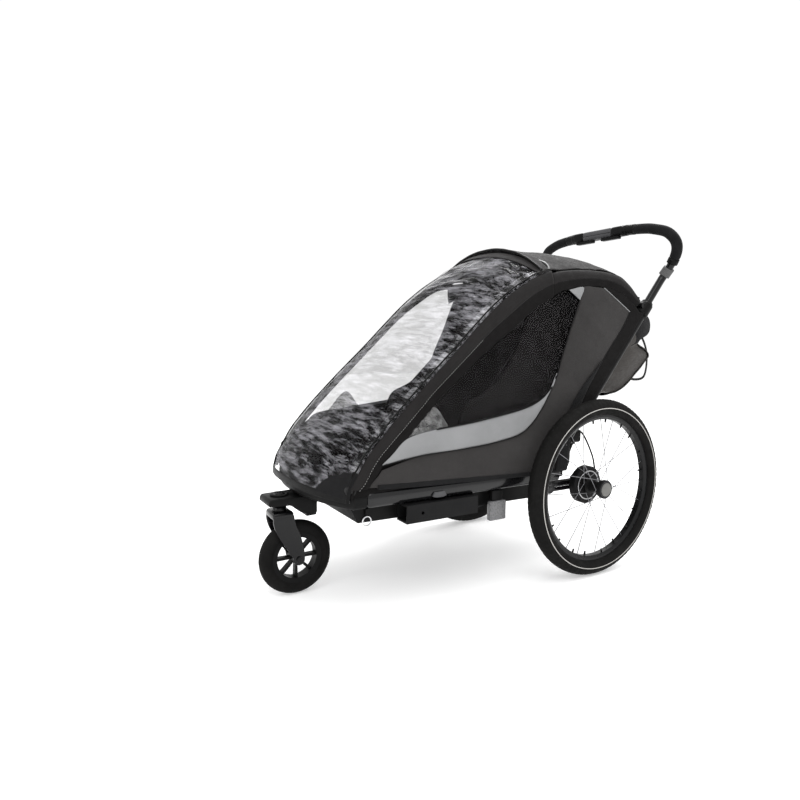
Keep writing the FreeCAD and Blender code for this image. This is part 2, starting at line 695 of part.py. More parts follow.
def reflector(sign):
    """A side reflector: a two facet block that hangs from the sill."""
    outline = [V(236, -344, 0), V(240, -318, 0), V(236, -290, 0), V(224, -290, 0), V(224, -344, 0)]
    face = Part.Face(Part.makePolygon(outline + outline[:1]))
    solid = face.extrude(V(0, 0, 52))
    solid.translate(V(0, 0, 188))
    hanger = Part.makeBox(8, 30, 26, V(225, -332, 239.5))
    solid = solid.fuse(hanger)
    return solid if sign > 0 else solid.mirror(V(), ACROSS)


feature("side_reflectors", Part.makeCompound([reflector(sign) for _, sign in SIDES]))

tether = doc.addObject("Part::Torus", "tether_torus")
bind(tether, "Radius1", 11)
bind(tether, "Radius2", 1.8)
place(tether, 209, -690, 231, FreeCAD.Rotation(V(0, 1, 0), 90))
keep(tether, "tether_ring")


# ---------------------------------------------------------------- front wheel

def caster_body(node):
    body = new_body(node)
    place(body, 0, "dim.caster_y + dim.caster_trail", "dim.caster_radius")
    return body


caster_tyre = caster_body("caster_tyre")
revolve(caster_tyre, circle=(0, "dim.caster_radius - dim.caster_section", "dim.caster_section"))
groove(caster_tyre, [(-30, "dim.caster_rim - 14"), (30, "dim.caster_rim - 14"),
                     (30, "dim.caster_rim"), (-30, "dim.caster_rim")])

caster_rim = caster_body("caster_wheel")
revolve(caster_rim, [(-14, "dim.caster_rim_inner"), (14, "dim.caster_rim_inner"),
                     (17, "dim.caster_rim"), (-17, "dim.caster_rim")])
revolve(caster_rim, [(-22, "dim.axle_radius + dim.running_fit"),
                     (22, "dim.axle_radius + dim.running_fit"), (22, 14), (-22, 14)])
spoke_sketch = sketch_on(caster_rim, "YZ_Plane")
draw_outline(spoke_sketch, [(12, -3), (12, 3), ("dim.caster_rim_inner + 1.5", 3.8),
                            ("dim.caster_rim_inner + 1.5", -3.8)])
caster_spoke = caster_rim.newObject("PartDesign::Pad", "spoke")
caster_spoke.Profile = spoke_sketch
caster_spoke.Midplane = True
caster_spoke.Length = 16
caster_rim.Tip = caster_spoke
doc.recompute()
round_spokes = caster_rim.newObject("PartDesign::PolarPattern", "spokes")
round_spokes.Originals = [caster_spoke]
round_spokes.Axis = (next(item for item in caster_rim.Origin.OriginFeatures
                          if item.Role == "X_Axis"), [""])
round_spokes.Angle = 360
round_spokes.Occurrences = 8
caster_rim.Tip = round_spokes

caster_axle = caster_body("caster_axle")
revolve(caster_axle, [(-36, 0), (36, 0), (36, 8.5), (32, 8.5), (32, "dim.axle_radius"),
                      (-32, "dim.axle_radius"), (-32, 8.5), (-36, 8.5)])


def fork():
    """Two curved legs under a round crown, trailing back to the front wheel's axle."""
    top = size("caster_y")
    hub_y = top + size("caster_trail")
    hub_z = size("caster_radius")
    inner = size("fork_gap_half")
    thick = size("fork_leg_width")
    front = [V(0, hub_y - 15, hub_z + 2), V(0, top - 12, 150), V(0, top - 27, 200)]
    back = [V(0, top + 26, 206), V(0, hub_y + 4, 160), V(0, hub_y + 15, hub_z + 2)]
    outline = Part.Wire([
        Part.Arc(front[0], front[1], front[2]).toShape(),
        Part.LineSegment(front[2], V(0, top - 24, 222)).toShape(),
        Part.LineSegment(V(0, top - 24, 222), V(0, top + 20, 222)).toShape(),
        Part.LineSegment(V(0, top + 20, 222), back[0]).toShape(),
        Part.Arc(back[0], back[1], back[2]).toShape(),
        Part.Arc(back[2], V(0, hub_y, hub_z - 15), front[0]).toShape(),
    ])
    leg = Part.Face(outline).extrude(V(thick, 0, 0))
    left = leg.copy()
    left.translate(V(inner, 0, 0))
    right = leg.copy()
    right.translate(V(-inner - thick, 0, 0))
    crown = Part.makeBox(2 * inner + 2, 44, 20, V(-inner - 1, top - 24, 202))
    neck = Part.makeCylinder(17, 19.6, V(0, top, 221), V(0, 0, 1))
    solid = left.fuse([right, crown, neck]).removeSplitter()
    axle = Part.makeCylinder(size("axle_radius"), 80, V(-40, hub_y, hub_z), ACROSS)
    stem = Part.makeCylinder(8, 60, V(0, top, 190), V(0, 0, 1))
    return solid.cut(axle).cut(stem)


feature("caster_fork", fork())
keep(joined("Part::Fuse", "caster_stem_whole",
            rod("stem_shank", 0, "dim.caster_y", 204, 8, 58, "Z"),
            rod("stem_cap", 0, "dim.caster_y", "262", 14, 4, "Z")), "caster_stem")


# ---------------------------------------------------------------- uprights and handle

lean = math.radians(size("upright_lean"))
UP = V(0, math.cos(lean), math.sin(lean))
FORWARD = V(0, -math.sin(lean), math.cos(lean))
FOOT = V(0, size("upright_y"), size("upright_z"))
ROOF_PIVOT = V(0, 231.5, 770)


def along_upright(distance, x=0.0, ahead=0.0):
    """A point at a distance up the uprights, and so far ahead of their plane."""
    return FOOT + UP * distance + FORWARD * ahead + V(x, 0, 0)


for side, sign in SIDES:
    x = sign * size("upright_x")
    radius = size("upright_radius")
    sleeve = Part.makeCylinder(radius, size("upright_length"), along_upright(0, x), UP)
    foot_eye = Part.makeCylinder(16, 27, V(x - 13.5, FOOT.y, FOOT.z), ACROSS)
    collar = Part.makeCylinder(radius + 3.5, 46, along_upright(size("upright_length") - 42, x), UP)
    roof_eye = Part.makeCylinder(11, 26, V(x - 13, ROOF_PIVOT.y, ROOF_PIVOT.z), ACROSS)
    outer = sleeve.fuse([foot_eye, collar, roof_eye])
    hollow = Part.makeCylinder(radius - size("tube_wall"), 640, along_upright(22, x), UP)
    foot_bore = Part.makeCylinder(size("bolt_radius") + size("running_fit"), 60,
                                  V(x - 30, FOOT.y, FOOT.z), ACROSS)
    roof_bore = Part.makeCylinder(4.05, 60, V(x - 30, ROOF_PIVOT.y, ROOF_PIVOT.z), ACROSS)
    feature(f"{side}_upright", outer.cut(hollow).cut(foot_bore).cut(roof_bore))

bar_start = along_upright(430, -size("upright_x") + size("upright_radius") + 0.1)
feature("back_cross_tube",
        Part.makeCylinder(10, 2 * (size("upright_x") - size("upright_radius") - 0.1), bar_start,
                          ACROSS).cut(Part.makeCylinder(8, 500, bar_start - V(10, 0, 0), ACROSS)))

reach = size("handle_reach")
collar_at = along_upright(reach, size("upright_x"))
handle_half = [
    collar_at - V(0, UP.y, UP.z) * 250,
    collar_at,
    V(244, 331, 890),
    V(268, 325, 930),
    V(270, 314, 966),
    V(240, 301, 996),
    V(180, 296, 1012),
    V(60, 293, 1018),
]
handle_points = handle_half + [mirrored(point) for point in reversed(handle_half)]
handle_tube = tube(handle_points, size("handle_radius"), share=0.42)
feature("handle_frame", handle_tube)


def grip():
    """The foam sleeve over the curved arms and ends of the handle."""
    solids = []
    for flip in (False, True):
        points = handle_half[1:]
        start = points[0] + (points[1] - points[0]) * 0.45
        chain = [start] + points[1:-1] + [V(108, 294.2, 1015.6)]
        if flip:
            chain = [mirrored(point) for point in chain]
        solids.append(tube(chain, size("grip_radius"), share=0.42).cut(handle_tube))
    return Part.makeCompound(solids)


feature("handle_grip", grip())
unit = Part.makeBox(204, 40, 30, V(-102, 273, 1001))
unit = unit.makeFillet(9, [edge for edge in unit.Edges
                           if abs(edge.Vertexes[0].X - edge.Vertexes[1].X) > 1])
unit = unit.cut(handle_tube)
paddles = []
for low in (-88, 18):
    unit = unit.cut(Part.makeBox(71, 19, 5.5, V(low - 0.5, 276, 1000)))
    paddle = Part.makeBox(70, 18, 10, V(low, 276.5, 992))
    paddles.append(paddle.makeFillet(3, paddle.Edges))
feature("handle_unit", unit)
feature("release_paddles", Part.makeCompound(paddles))


# ---------------------------------------------------------------- hoop and roof

hoop_half = [V(size("hoop_x"), y, z) for y, z in (
    (HOOP_PIVOT.y, HOOP_PIVOT.z), (-706, 385), (-618, 482), (-470, 622), (-345, 740),
    (-232, 816), (-158, 843))]
bow = [V(205, -152, 862), V(120, -150, 892)]
hoop_points = hoop_half + bow + [mirrored(point) for point in reversed(hoop_half + bow)]
hoop = tube(hoop_points, size("hoop_radius"), share=0.42)
for _, sign in SIDES:
    x = sign * size("hoop_x")
    eye = Part.makeCylinder(13, 18, V(x - 9, HOOP_PIVOT.y, HOOP_PIVOT.z), ACROSS)
    bore = Part.makeCylinder(size("bolt_radius") + size("running_fit"), 60,
                             V(x - 30, HOOP_PIVOT.y, HOOP_PIVOT.z), ACROSS)
    hoop = hoop.fuse(eye).cut(bore)
feature("front_hoop", hoop)

roof_rails = []
for _, sign in SIDES:
    x = sign * 194
    points = [V(x, -122, 846), V(x, 40, 842), V(x, 140, 815), V(x, ROOF_PIVOT.y, ROOF_PIVOT.z)]
    rail = tube(points, 8)
    eye = Part.makeCylinder(11, 16, V(x - 8, ROOF_PIVOT.y, ROOF_PIVOT.z), ACROSS)
    pin_start = 194 if sign > 0 else -234
    pin = Part.makeCylinder(4, 40, V(pin_start, ROOF_PIVOT.y, ROOF_PIVOT.z), ACROSS)
    roof_rails.append(rail.fuse([eye, pin]))
feature("roof_rails", Part.makeCompound(roof_rails))


# ---------------------------------------------------------------- fabric parts

COVER = [(-770, 306, 18), (-722, 376, 24), (-632, 486, 34), (-486, 624, 44), (-352, 748, 52),
         (-262, 806, 56), (-186, 838, 58)]
feature("front_cover", crowned_skin(COVER, 203, size("cover_thick")))

ROOF = [(-112, 861, 53), (-40, 862, 54), (60, 858, 50), (138, 838, 46), (204, 800, 40)]
feature("roof_canopy", crowned_skin(ROOF, size("upright_x") + 10, size("roof_thick")))

SIDE_PANEL = [(-706, 312), (-560, 306), (-215, 298), (-70, 300), (60, 484), (176, 738), (120, 808),
              (-40, 818), (-150, 806), (-235, 758), (-372, 654), (-508, 524), (-600, 440),
              (-655, 384)]
for side, sign in SIDES:
    panel = new_body(f"{side}_side_panel")
    start = "dim.panel_x" if sign > 0 else "-dim.panel_x - dim.panel_thick"
    place(panel, start, 0, 0)
    pad(panel, "YZ_Plane", "dim.panel_thick", SIDE_PANEL)

cushion = new_body("seat_cushion")
place(cushion, 0, 0, 0)
pad(cushion, "YZ_Plane", 372, [(-430, 230), (-428, 296), (-400, 318), (-190, 292), (-150, 284),
                               (-150, 230)], middle=True)
soften(cushion, 10, lambda edge: runs_along(edge, ACROSS))


def slab(low, high, behind, ahead, half_width, rounding):
    """A flat pad that lies along the uprights, between two distances up them."""
    corners = [along_upright(low, -half_width, behind), along_upright(high, -half_width, behind),
               along_upright(high, -half_width, ahead), along_upright(low, -half_width, ahead)]
    face = Part.Face(Part.makePolygon(corners + corners[:1]))
    solid = face.extrude(V(2 * half_width, 0, 0))
    return solid.makeFillet(rounding, solid.Edges)


feature("rear_panel", slab(30, 528, -16, -12, 180, 1.5))
feature("seat_back", slab(64, 440, 14, 52, 172, 12))

BAG = [V(0, y, z) for y, z in (
    (94, 520), (160, 499), (223, 503), (296, 556), (354, 612), (345, 634), (304, 650), (322, 674),
    (352, 686), (368, 716), (350, 752), (302, 768), (278, 764))]
bag_face = Part.Face(Part.makePolygon(BAG + BAG[:1]))
bag = bag_face.extrude(V(352, 0, 0))
bag.translate(V(-176, 0, 0))
feature("storage_bag", bag)


def harness():
    """Two shoulder straps, two hip straps and a crotch strap lying just off the seat back."""
    solids = []
    for _, sign in SIDES:
        shoulder = slab(150, 400, 52.6, 54.6, 19, 0.9)
        shoulder.translate(V(sign * 58, 0, 0))
        solids.append(shoulder)
    buckle = slab(100, 148, 53, 67, 28, 5)
    solids.append(buckle)
    return Part.makeCompound(solids)


feature("harness", harness())


# ---------------------------------------------------------------- check and write

doc.recompute()
problems = [f"{thing.Name} in {thing.Label}: {thing.getStatusString()}" for thing in doc.Objects
            if "Invalid" in thing.State or "Error" in thing.State]
for thing in parts:
    if thing.Shape.isNull() or not thing.Shape.isValid() or not thing.Shape.Solids:
        problems.append(f"{thing.Label}: shape is not a valid solid")
if problems:
    raise RuntimeError("; ".join(problems))

os.makedirs("parts", exist_ok=True)
for thing in parts:
    thing.Shape.exportStep(f"parts/{thing.Label}.step")
print(len(parts), "sub-parts written")
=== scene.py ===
import json
import math

import bmesh
import bpy
from mathutils import Matrix, Vector, noise

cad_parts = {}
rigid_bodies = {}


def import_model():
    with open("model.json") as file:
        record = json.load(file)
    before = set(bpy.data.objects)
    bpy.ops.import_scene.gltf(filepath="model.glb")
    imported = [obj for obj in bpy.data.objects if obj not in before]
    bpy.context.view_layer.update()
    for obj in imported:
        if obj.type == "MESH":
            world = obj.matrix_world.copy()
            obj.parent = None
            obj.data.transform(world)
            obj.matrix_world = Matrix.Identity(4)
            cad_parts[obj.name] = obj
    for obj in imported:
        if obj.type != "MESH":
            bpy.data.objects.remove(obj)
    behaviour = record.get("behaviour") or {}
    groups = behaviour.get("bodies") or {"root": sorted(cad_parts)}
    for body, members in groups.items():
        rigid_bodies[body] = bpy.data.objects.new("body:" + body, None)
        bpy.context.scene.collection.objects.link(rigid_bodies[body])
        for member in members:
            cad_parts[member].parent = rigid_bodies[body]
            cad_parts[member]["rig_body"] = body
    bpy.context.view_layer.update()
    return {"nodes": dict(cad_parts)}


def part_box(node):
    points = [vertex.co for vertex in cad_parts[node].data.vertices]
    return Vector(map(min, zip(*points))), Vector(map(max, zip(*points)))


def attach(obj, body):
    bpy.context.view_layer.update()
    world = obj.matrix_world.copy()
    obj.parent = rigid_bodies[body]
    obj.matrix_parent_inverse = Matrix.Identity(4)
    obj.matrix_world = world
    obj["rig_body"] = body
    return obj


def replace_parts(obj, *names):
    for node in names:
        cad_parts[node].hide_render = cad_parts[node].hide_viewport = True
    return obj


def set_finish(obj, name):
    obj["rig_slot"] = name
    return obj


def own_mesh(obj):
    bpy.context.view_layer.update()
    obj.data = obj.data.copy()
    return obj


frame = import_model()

nodes = frame["nodes"]

# Shapes are written in millimetres from the ground point below the rear axle, as in the CAD.
hub_low, hub_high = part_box("left_hub")
AXLE_Y = (hub_low.y + hub_high.y) / 2
AXLE_Z = (hub_low.z + hub_high.z) / 2
MM = 0.001
SIDES = (("left", 1), ("right", -1))


def at(x, y, z):
    """A point given in millimetres from below the axle, in the row frame."""
    return Vector((x * MM, y * MM + AXLE_Y, z * MM))


# ---------------------------------------------------------------- materials

class Shader:
    """A Principled material whose colour, bump and roughness come from procedural nodes."""

    def __init__(self, name, colour, rough, **sockets):
        self.material = bpy.data.materials.new(name)
        self.material.use_nodes = True
        self.tree = self.material.node_tree
        self.main = self.tree.nodes["Principled BSDF"]
        self.main.inputs["Base Color"].default_value = (*colour, 1)
        self.main.inputs["Roughness"].default_value = rough
        for socket, value in sockets.items():
            self.main.inputs[socket.replace("_", " ")].default_value = value
        self.colour = colour
        self.place = self.node("ShaderNodeTexCoord").outputs["Object"]
        self.heights = []

    def node(self, kind, **inputs):
        made = self.tree.nodes.new(kind)
        for key, value in inputs.items():
            self.feed(made.inputs[key.replace("_", " ")], value)
        return made

    def feed(self, socket, value):
        if isinstance(value, bpy.types.NodeSocket):
            self.tree.links.new(value, socket)
        else:
            socket.default_value = value

    def math(self, operation, first, second=0.0):
        made = self.node("ShaderNodeMath")
        made.operation = operation
        self.feed(made.inputs[0], first)
        self.feed(made.inputs[1], second)
        return made.outputs[0]

    def stretched(self, scale):
        made = self.node("ShaderNodeMapping", Vector=self.place)
        made.inputs["Scale"].default_value = scale
        return made.outputs[0]

    def noise(self, scale, detail=3.0, stretch=None, roughness=0.55):
        place = self.place if stretch is None else self.stretched(stretch)
        made = self.node("ShaderNodeTexNoise", Vector=place, Scale=scale, Detail=detail,
                         Roughness=roughness)
        return made.outputs["Fac"]

    def threads(self, axis, pitch):
        """Rows of threads across one axis, pitch metres apart, from 0 to 1."""
        made = self.node("ShaderNodeTexWave", Vector=self.place, Scale=0.314 / pitch)
        made.bands_direction = axis
        return made.outputs["Fac"]

    def ramp(self, value, low, high, dark, light):
        made = self.node("ShaderNodeMapRange", Value=value)
        made.inputs["From Min"].default_value = low
        made.inputs["From Max"].default_value = high
        made.inputs["To Min"].default_value = dark
        made.inputs["To Max"].default_value = light
        return made.outputs["Result"]

    def tint(self, value, low, high, dark, light):
        """Base colour that varies from dark to light times the plain colour."""
        ramp = self.node("ShaderNodeValToRGB", Fac=value)
        first, last = ramp.color_ramp.elements
        first.position, last.position = low, high
        first.color = (*[c * dark for c in self.colour], 1)
        last.color = (*[min(1, c * light) for c in self.colour], 1)
        self.tree.links.new(ramp.outputs["Color"], self.main.inputs["Base Color"])

    def rough(self, value, low, high, smooth, coarse):
        self.feed(self.main.inputs["Roughness"], self.ramp(value, low, high, smooth, coarse))

    def bump(self, height, distance, strength=1.0):
        self.heights.append((height, distance, strength))

    def done(self):
        """Chain the bumps and hand over the material."""
        normal = None
        for height, distance, strength in self.heights:
            made = self.node("ShaderNodeBump", Height=height)
            made.inputs["Distance"].default_value = distance
            made.inputs["Strength"].default_value = strength
            if normal is not None:
                self.feed(made.inputs["Normal"], normal)
            normal = made.outputs["Normal"]
        if normal is not None:
            self.feed(self.main.inputs["Normal"], normal)
        return self.material


def woven(name, colour, rough=0.8, across="Y", pitch=0.0009, sheen=0.05, folds=1.0):
    """A plain woven synthetic: threads both ways, soft shade changes and small creases."""
    shader = Shader(name, colour, rough, Sheen_Weight=sheen, Sheen_Roughness=0.5,
                    Specular_IOR_Level=0.12)
    broad = shader.noise(7, 4)
    shader.tint(broad, 0.3, 0.72, 0.86, 1.14)
    shader.rough(shader.noise(60, 2), 0.3, 0.7, rough - 0.07, min(1, rough + 0.07))
    shader.bump(shader.noise(22, 3, (1, 1, 2.2)), 0.004 * folds, 0.35)
    if pitch:
        weave = shader.math("MULTIPLY", shader.threads(across, pitch), shader.threads("Z", pitch))
        shader.bump(weave, 0.0003, 0.55)
    return shader.done()


def moulded(name, colour, rough, grain=900, depth=0.00012, **sockets):
    """Moulded plastic: fine grain, slight shade and gloss changes."""
    shader = Shader(name, colour, rough, **{"Specular_IOR_Level": 0.09, **sockets})
    shader.tint(shader.noise(14, 3), 0.3, 0.7, 0.88, 1.15)
    shader.rough(shader.noise(45, 3), 0.3, 0.75, rough * 0.85, min(1, rough * 1.2))
    shader.bump(shader.noise(grain, 2), depth, 0.5)
    return shader.done()


def painted(name, colour, rough, **sockets):
    """Powder coated or anodised metal: orange peel and faint handling marks."""
    shader = Shader(name, colour, rough, Specular_IOR_Level=0.2, **sockets)
    shader.tint(shader.noise(30, 3), 0.3, 0.7, 0.9, 1.15)
    shader.rough(shader.noise(90, 4, (1, 1, 0.4)), 0.35, 0.75, rough * 0.8, min(1, rough * 1.35))
    shader.bump(shader.noise(700, 2), 0.00008, 0.4)
    return shader.done()


def bare_metal(name, colour, rough):
    """Bright steel: drawn streaks."""
    shader = Shader(name, colour, rough, Metallic=1.0)
    shader.tint(shader.noise(40, 3), 0.3, 0.7, 0.85, 1.1)
    shader.rough(shader.noise(120, 3, (0.2, 1, 1)), 0.3, 0.7, rough * 0.75, rough * 1.4)
    shader.bump(shader.noise(900, 2, (0.1, 1, 1)), 0.00004, 0.4)
    return shader.done()


def tyre_rubber():
    shader = Shader("tyre_rubber", (0.0068, 0.0066, 0.0064), 0.72, Specular_IOR_Level=0.06)
    shader.tint(shader.noise(18, 4), 0.3, 0.75, 0.8, 1.4)
    shader.rough(shader.noise(70, 3), 0.3, 0.7, 0.6, 0.84)
    shader.bump(shader.noise(1100, 2), 0.00015, 0.6)
    return shader.done()


def film(name, colour, alpha, rough, crumpled):
    """Clear soft PVC: a thin veil whose colour carries painted crease shade and painted glints, long fine
    streaks from black to bright; the creases' own relief is bump.
    """
    shader = Shader(name, colour, rough, Alpha=alpha, Specular_IOR_Level=0.2)
    broad = shader.noise(11, 3, (0.5, 1, 1), 0.5)
    drift = shader.noise(42, 4, (0.2, 0.9, 1.1), 0.65)
    fine = shader.noise(105, 4, (0.15, 0.9, 1.1), 0.7)
    if crumpled:
        # Painted shade and painted highlights: the crease noise darkens the colour to near black and
        # brightens it to glints.
        crease_shade_and_glints = shader.math("ADD", shader.math("MULTIPLY", broad, 0.30),
                            shader.math("ADD", shader.math("MULTIPLY", drift, 0.34),
                                        shader.math("MULTIPLY", fine, 0.52)))
        shader.tint(crease_shade_and_glints, 0.535, 0.685, 0.015, 2.7)
    else:
        # Painted reflections and painted shade: the colour brightens and darkens in soft patches.
        shader.tint(drift, 0.4, 0.8, 0.4, 2.4)
    shader.bump(broad, 0.010, 0.4)
    if crumpled:
        shader.bump(drift, 0.004, 0.4)
        shader.bump(fine, 0.0012, 0.4)
    return shader.done()


def foam():
    shader = Shader("foam", (0.0085, 0.0085, 0.009), 0.9, Specular_IOR_Level=0.06,
                    Sheen_Weight=0.05)
    shader.tint(shader.noise(40, 3), 0.3, 0.7, 0.8, 1.3)
    cells = shader.node("ShaderNodeTexVoronoi", Vector=shader.place, Scale=900)
    shader.bump(cells.outputs["Distance"], 0.0003, 0.6)
    shader.rough(shader.noise(80, 3), 0.3, 0.7, 0.8, 0.97)
    return shader.done()


def reflector_plastic():
    shader = Shader("reflector", (0.105, 0.105, 0.108), 0.22, Specular_IOR_Level=0.4)
    cells = shader.node("ShaderNodeTexVoronoi", Vector=shader.place, Scale=260)
    cells.feature = "F1"
    shader.tint(cells.outputs["Distance"], 0.0, 0.6, 0.55, 1.3)
    shader.bump(cells.outputs["Distance"], 0.001, 0.6)
    return shader.done()


CHARCOAL = woven("charcoal_fabric", (0.029, 0.0272, 0.0268))
CHARCOAL_ROOF = woven("roof_fabric", (0.0120, 0.0110, 0.0110), 0.74, "X", sheen=0.02)
GREY_FABRIC = woven("grey_fabric", (0.235, 0.238, 0.242), 0.62, pitch=0.0007, folds=0.7)
BLACK_FABRIC = woven("black_fabric", (0.0075, 0.0075, 0.008), 0.88, sheen=0.03)
PANEL_BLACK = woven("lining_fabric", (0.0055, 0.005, 0.005), 0.9, pitch=0, sheen=0.0)
BAG_FABRIC = woven("bag_fabric", (0.046, 0.042, 0.039), 0.5, "X", folds=4)
BINDING = moulded("binding_tape", (0.006, 0.006, 0.006), 0.42, 500, 0.0003)
THREAD = moulded("reflective_thread", (0.34, 0.34, 0.33), 0.4, 800, 0.0002)
CLEAR_FILM = film("clear_film", (0.235, 0.232, 0.25), 0.19, 0.14, True)
# A denser, whiter copy of the clear film: painted glints along the cover's edges.
FILM_EDGE_GLINT = film("film_edge_glint", (0.20, 0.20, 0.21), 0.42, 0.10, True)
# A brighter film for a painted reflection patch on the side windows.
FILM_GLARE = film("window_glare_film", (0.15, 0.15, 0.15), 0.5, 0.14, False)
WINDOW_FILM = film("window_film", (0.045, 0.043, 0.045), 0.085, 0.10, False)
GLOSS = moulded("gloss_black_plastic", (0.005, 0.005, 0.0055), 0.17, 300, 0.00006,
                Specular_IOR_Level=0.25, Coat_Weight=0.2, Coat_Roughness=0.1)
PLASTIC = moulded("black_plastic", (0.0045, 0.0045, 0.0045), 0.42)
DARK_PLASTIC = moulded("dark_plastic", (0.0075, 0.0075, 0.0078), 0.45)
GREY_PLASTIC = moulded("grey_plastic", (0.070, 0.070, 0.073), 0.5)
BUTTON_GREY = moulded("button_grey", (0.16, 0.158, 0.15), 0.48)
COLLAR_GREY = moulded("collar_grey", (0.085, 0.085, 0.085), 0.45)
FRAME_PAINT = painted("frame_paint", (0.0045, 0.0045, 0.0048), 0.3)
GLOSS_TUBE = painted("gloss_tube", (0.0035, 0.0035, 0.004), 0.18, Coat_Weight=0.12,
                     Coat_Roughness=0.08)
RIM_PAINT = painted("rim_paint", (0.005, 0.005, 0.0053), 0.33)
STEEL = bare_metal("steel", (0.62, 0.62, 0.63), 0.28)
SPOKE_STEEL = bare_metal("spoke_steel", (0.20, 0.20, 0.21), 0.35)
RUBBER = tyre_rubber()
STRIPE = moulded("reflective_stripe", (0.42, 0.41, 0.39), 0.5, 700, 0.0002)
FOAM = foam()
REFLECTOR = reflector_plastic()
WEBBING = woven("webbing", (0.009, 0.009, 0.009), 0.75, pitch=0.0016)


def paint(material, *names):
    """Give carried over CAD nodes their finish."""
    for name in names:
        mesh = nodes[name].data
        mesh.materials.clear()
        mesh.materials.append(material)
        for face in mesh.polygons:
            face.material_index = 0


def both(name):
    return f"left_{name}", f"right_{name}"


# ---------------------------------------------------------------- mesh helpers

def piece(name, verts, faces, material, body, slot, smooth=True):
    """A new mesh piece that rides on a CAD body."""
    mesh = bpy.data.meshes.new(name)
    mesh.from_pydata([tuple(v) for v in verts], [], faces)
    mesh.validate()
    mesh.materials.append(material)
    for face in mesh.polygons:
        face.use_smooth = smooth
    made = bpy.data.objects.new(name, mesh)
    bpy.context.scene.collection.objects.link(made)
    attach(made, body)
    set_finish(made, slot)
    return made


def bake_modifiers(thing):
    """Replace a piece's mesh by what its modifiers make of it."""
    graph = bpy.context.evaluated_depsgraph_get()
    mesh = bpy.data.meshes.new_from_object(thing.evaluated_get(graph))
    thing.modifiers.clear()
    thing.data = mesh
    return thing


def thicken(thing, thickness, offset=-1.0, levels=0):
    shell = thing.modifiers.new("shell", "SOLIDIFY")
    shell.thickness = thickness
    shell.offset = offset
    if levels:
        soft = thing.modifiers.new("soft", "SUBSURF")
        soft.levels = soft.render_levels = levels
    return bake_modifiers(thing)


def cloth(thing, rows, columns, held, rests=()):
    list(rests)


def resample(points, count):
    """Points evenly spaced along a smooth curve through given ones."""
    points = [Vector(p) for p in points]
    dense = []
    ends = [points[0] * 2 - points[1], *points, points[-1] * 2 - points[-2]]
    for p0, p1, p2, p3 in zip(ends, ends[1:], ends[2:], ends[3:]):
        for step in range(16):
            t = step / 16
            dense.append(0.5 * (2 * p1 + (p2 - p0) * t + (2 * p0 - 5 * p1 + 4 * p2 - p3) * t ** 2
                                + (3 * p1 - p0 - 3 * p2 + p3) * t ** 3))
    dense.append(points[-1])
    walked = [0.0]
    for a, b in zip(dense, dense[1:]):
        walked.append(walked[-1] + (b - a).length)
    result = []
    index = 0
    for step in range(count):
        target = walked[-1] * step / (count - 1)
        while index < len(dense) - 2 and walked[index + 1] < target:
            index += 1
        span = walked[index + 1] - walked[index]
        result.append(dense[index].lerp(dense[index + 1], (target - walked[index]) / span))
    return result


def grid_faces(rows, columns, close_rows=False, close_columns=False, flip=False):
    faces = []
    for r in range(rows if close_rows else rows - 1):
        for c in range(columns if close_columns else columns - 1):
            r2, c2 = (r + 1) % rows, (c + 1) % columns
            face = (r * columns + c, r * columns + c2, r2 * columns + c2, r2 * columns + c)
            faces.append(face[::-1] if flip else face)
    return faces


def end_caps(rings, columns):
    """The two faces that close a run of rings at its ends."""
    return [tuple(range(columns)), tuple(range((rings - 1) * columns, rings * columns))[::-1]]


def sheet_between(name, low, high, out, material, body, slot, sign=1, counts=(90, 18),
                  thickness=0.0012, rests=()):
    """A fabric panel between two edge curves; out(u, v, y, z) gives its x in millimetres."""
    low, high = resample(low, counts[0]), resample(high, counts[0])
    verts = []
    for i in range(counts[0]):
        u = i / (counts[0] - 1)
        for j in range(counts[1]):
            v = j / (counts[1] - 1)
            spot = low[i].lerp(high[i], v)
            verts.append(at(sign * out(u, v, spot.x, spot.y), spot.x, spot.y))
    made = piece(name, verts, grid_faces(counts[0], counts[1], flip=sign > 0), material, body,
                 slot)
    cloth(made, *counts, "stretched", rests)
    return thicken(made, thickness)


def sweep(name, path, profile, material, body, slot, closed=False, up=Vector((1, 0, 0)),
          caps=True):
    """Carry a closed outline of (across, out) metres along a path of points."""
    count = len(path)
    verts = []
    for i, spot in enumerate(path):
        ahead = path[(i + 1) % count] if closed or i < count - 1 else spot
        behind = path[i - 1] if closed or i > 0 else spot
        along = (ahead - behind).normalized()
        side = along.cross(up).normalized()
        out = side.cross(along).normalized()
        for across, lift in profile:
            verts.append(spot + side * across + out * lift)
    columns = len(profile)
    faces = grid_faces(count, columns, close_rows=closed, close_columns=True)
    if not closed and caps:
        faces += end_caps(count, columns)
    made = piece(name, verts, faces, material, body, slot)
    fix_normals(made)
    return made


def fix_normals(thing):
    mesh = bmesh.new()
    mesh.from_mesh(thing.data)
    bmesh.ops.recalc_face_normals(mesh, faces=mesh.faces)
    mesh.to_mesh(thing.data)
    mesh.free()


def ring_profile(radius, count=12, squash=1.0):
    return [(radius * math.cos(2 * math.pi * k / count),
             radius * squash * math.sin(2 * math.pi * k / count)) for k in range(count)]


def lathe(name, profile, centre, material, body, slot, steps=96, shape=None, axis="X", sign=1):
    """Turn an outline of (along, out) metres about an axis; shape may move a vertex."""
    verts = []
    for i in range(steps):
        angle = 2 * math.pi * i / steps
        for along, out in profile:
            if shape:
                along, out = shape(angle, along, out)
            y, z = out * math.cos(angle), out * math.sin(angle)
            spot = Vector((sign * along, y, z)) if axis == "X" else Vector((y, z, along))
            verts.append(centre + spot)
    faces = grid_faces(steps, len(profile), close_rows=True, close_columns=True)
    made = piece(name, verts, faces, material, body, slot)
    fix_normals(made)
    return made


def piece_from(mesh, name, material, body, slot):
    """Hand a bmesh over as a smooth piece."""
    made = piece(name, [], [], material, body, slot)
    mesh.to_mesh(made.data)
    mesh.free()
    for face in made.data.polygons:
        face.use_smooth = True
    return made


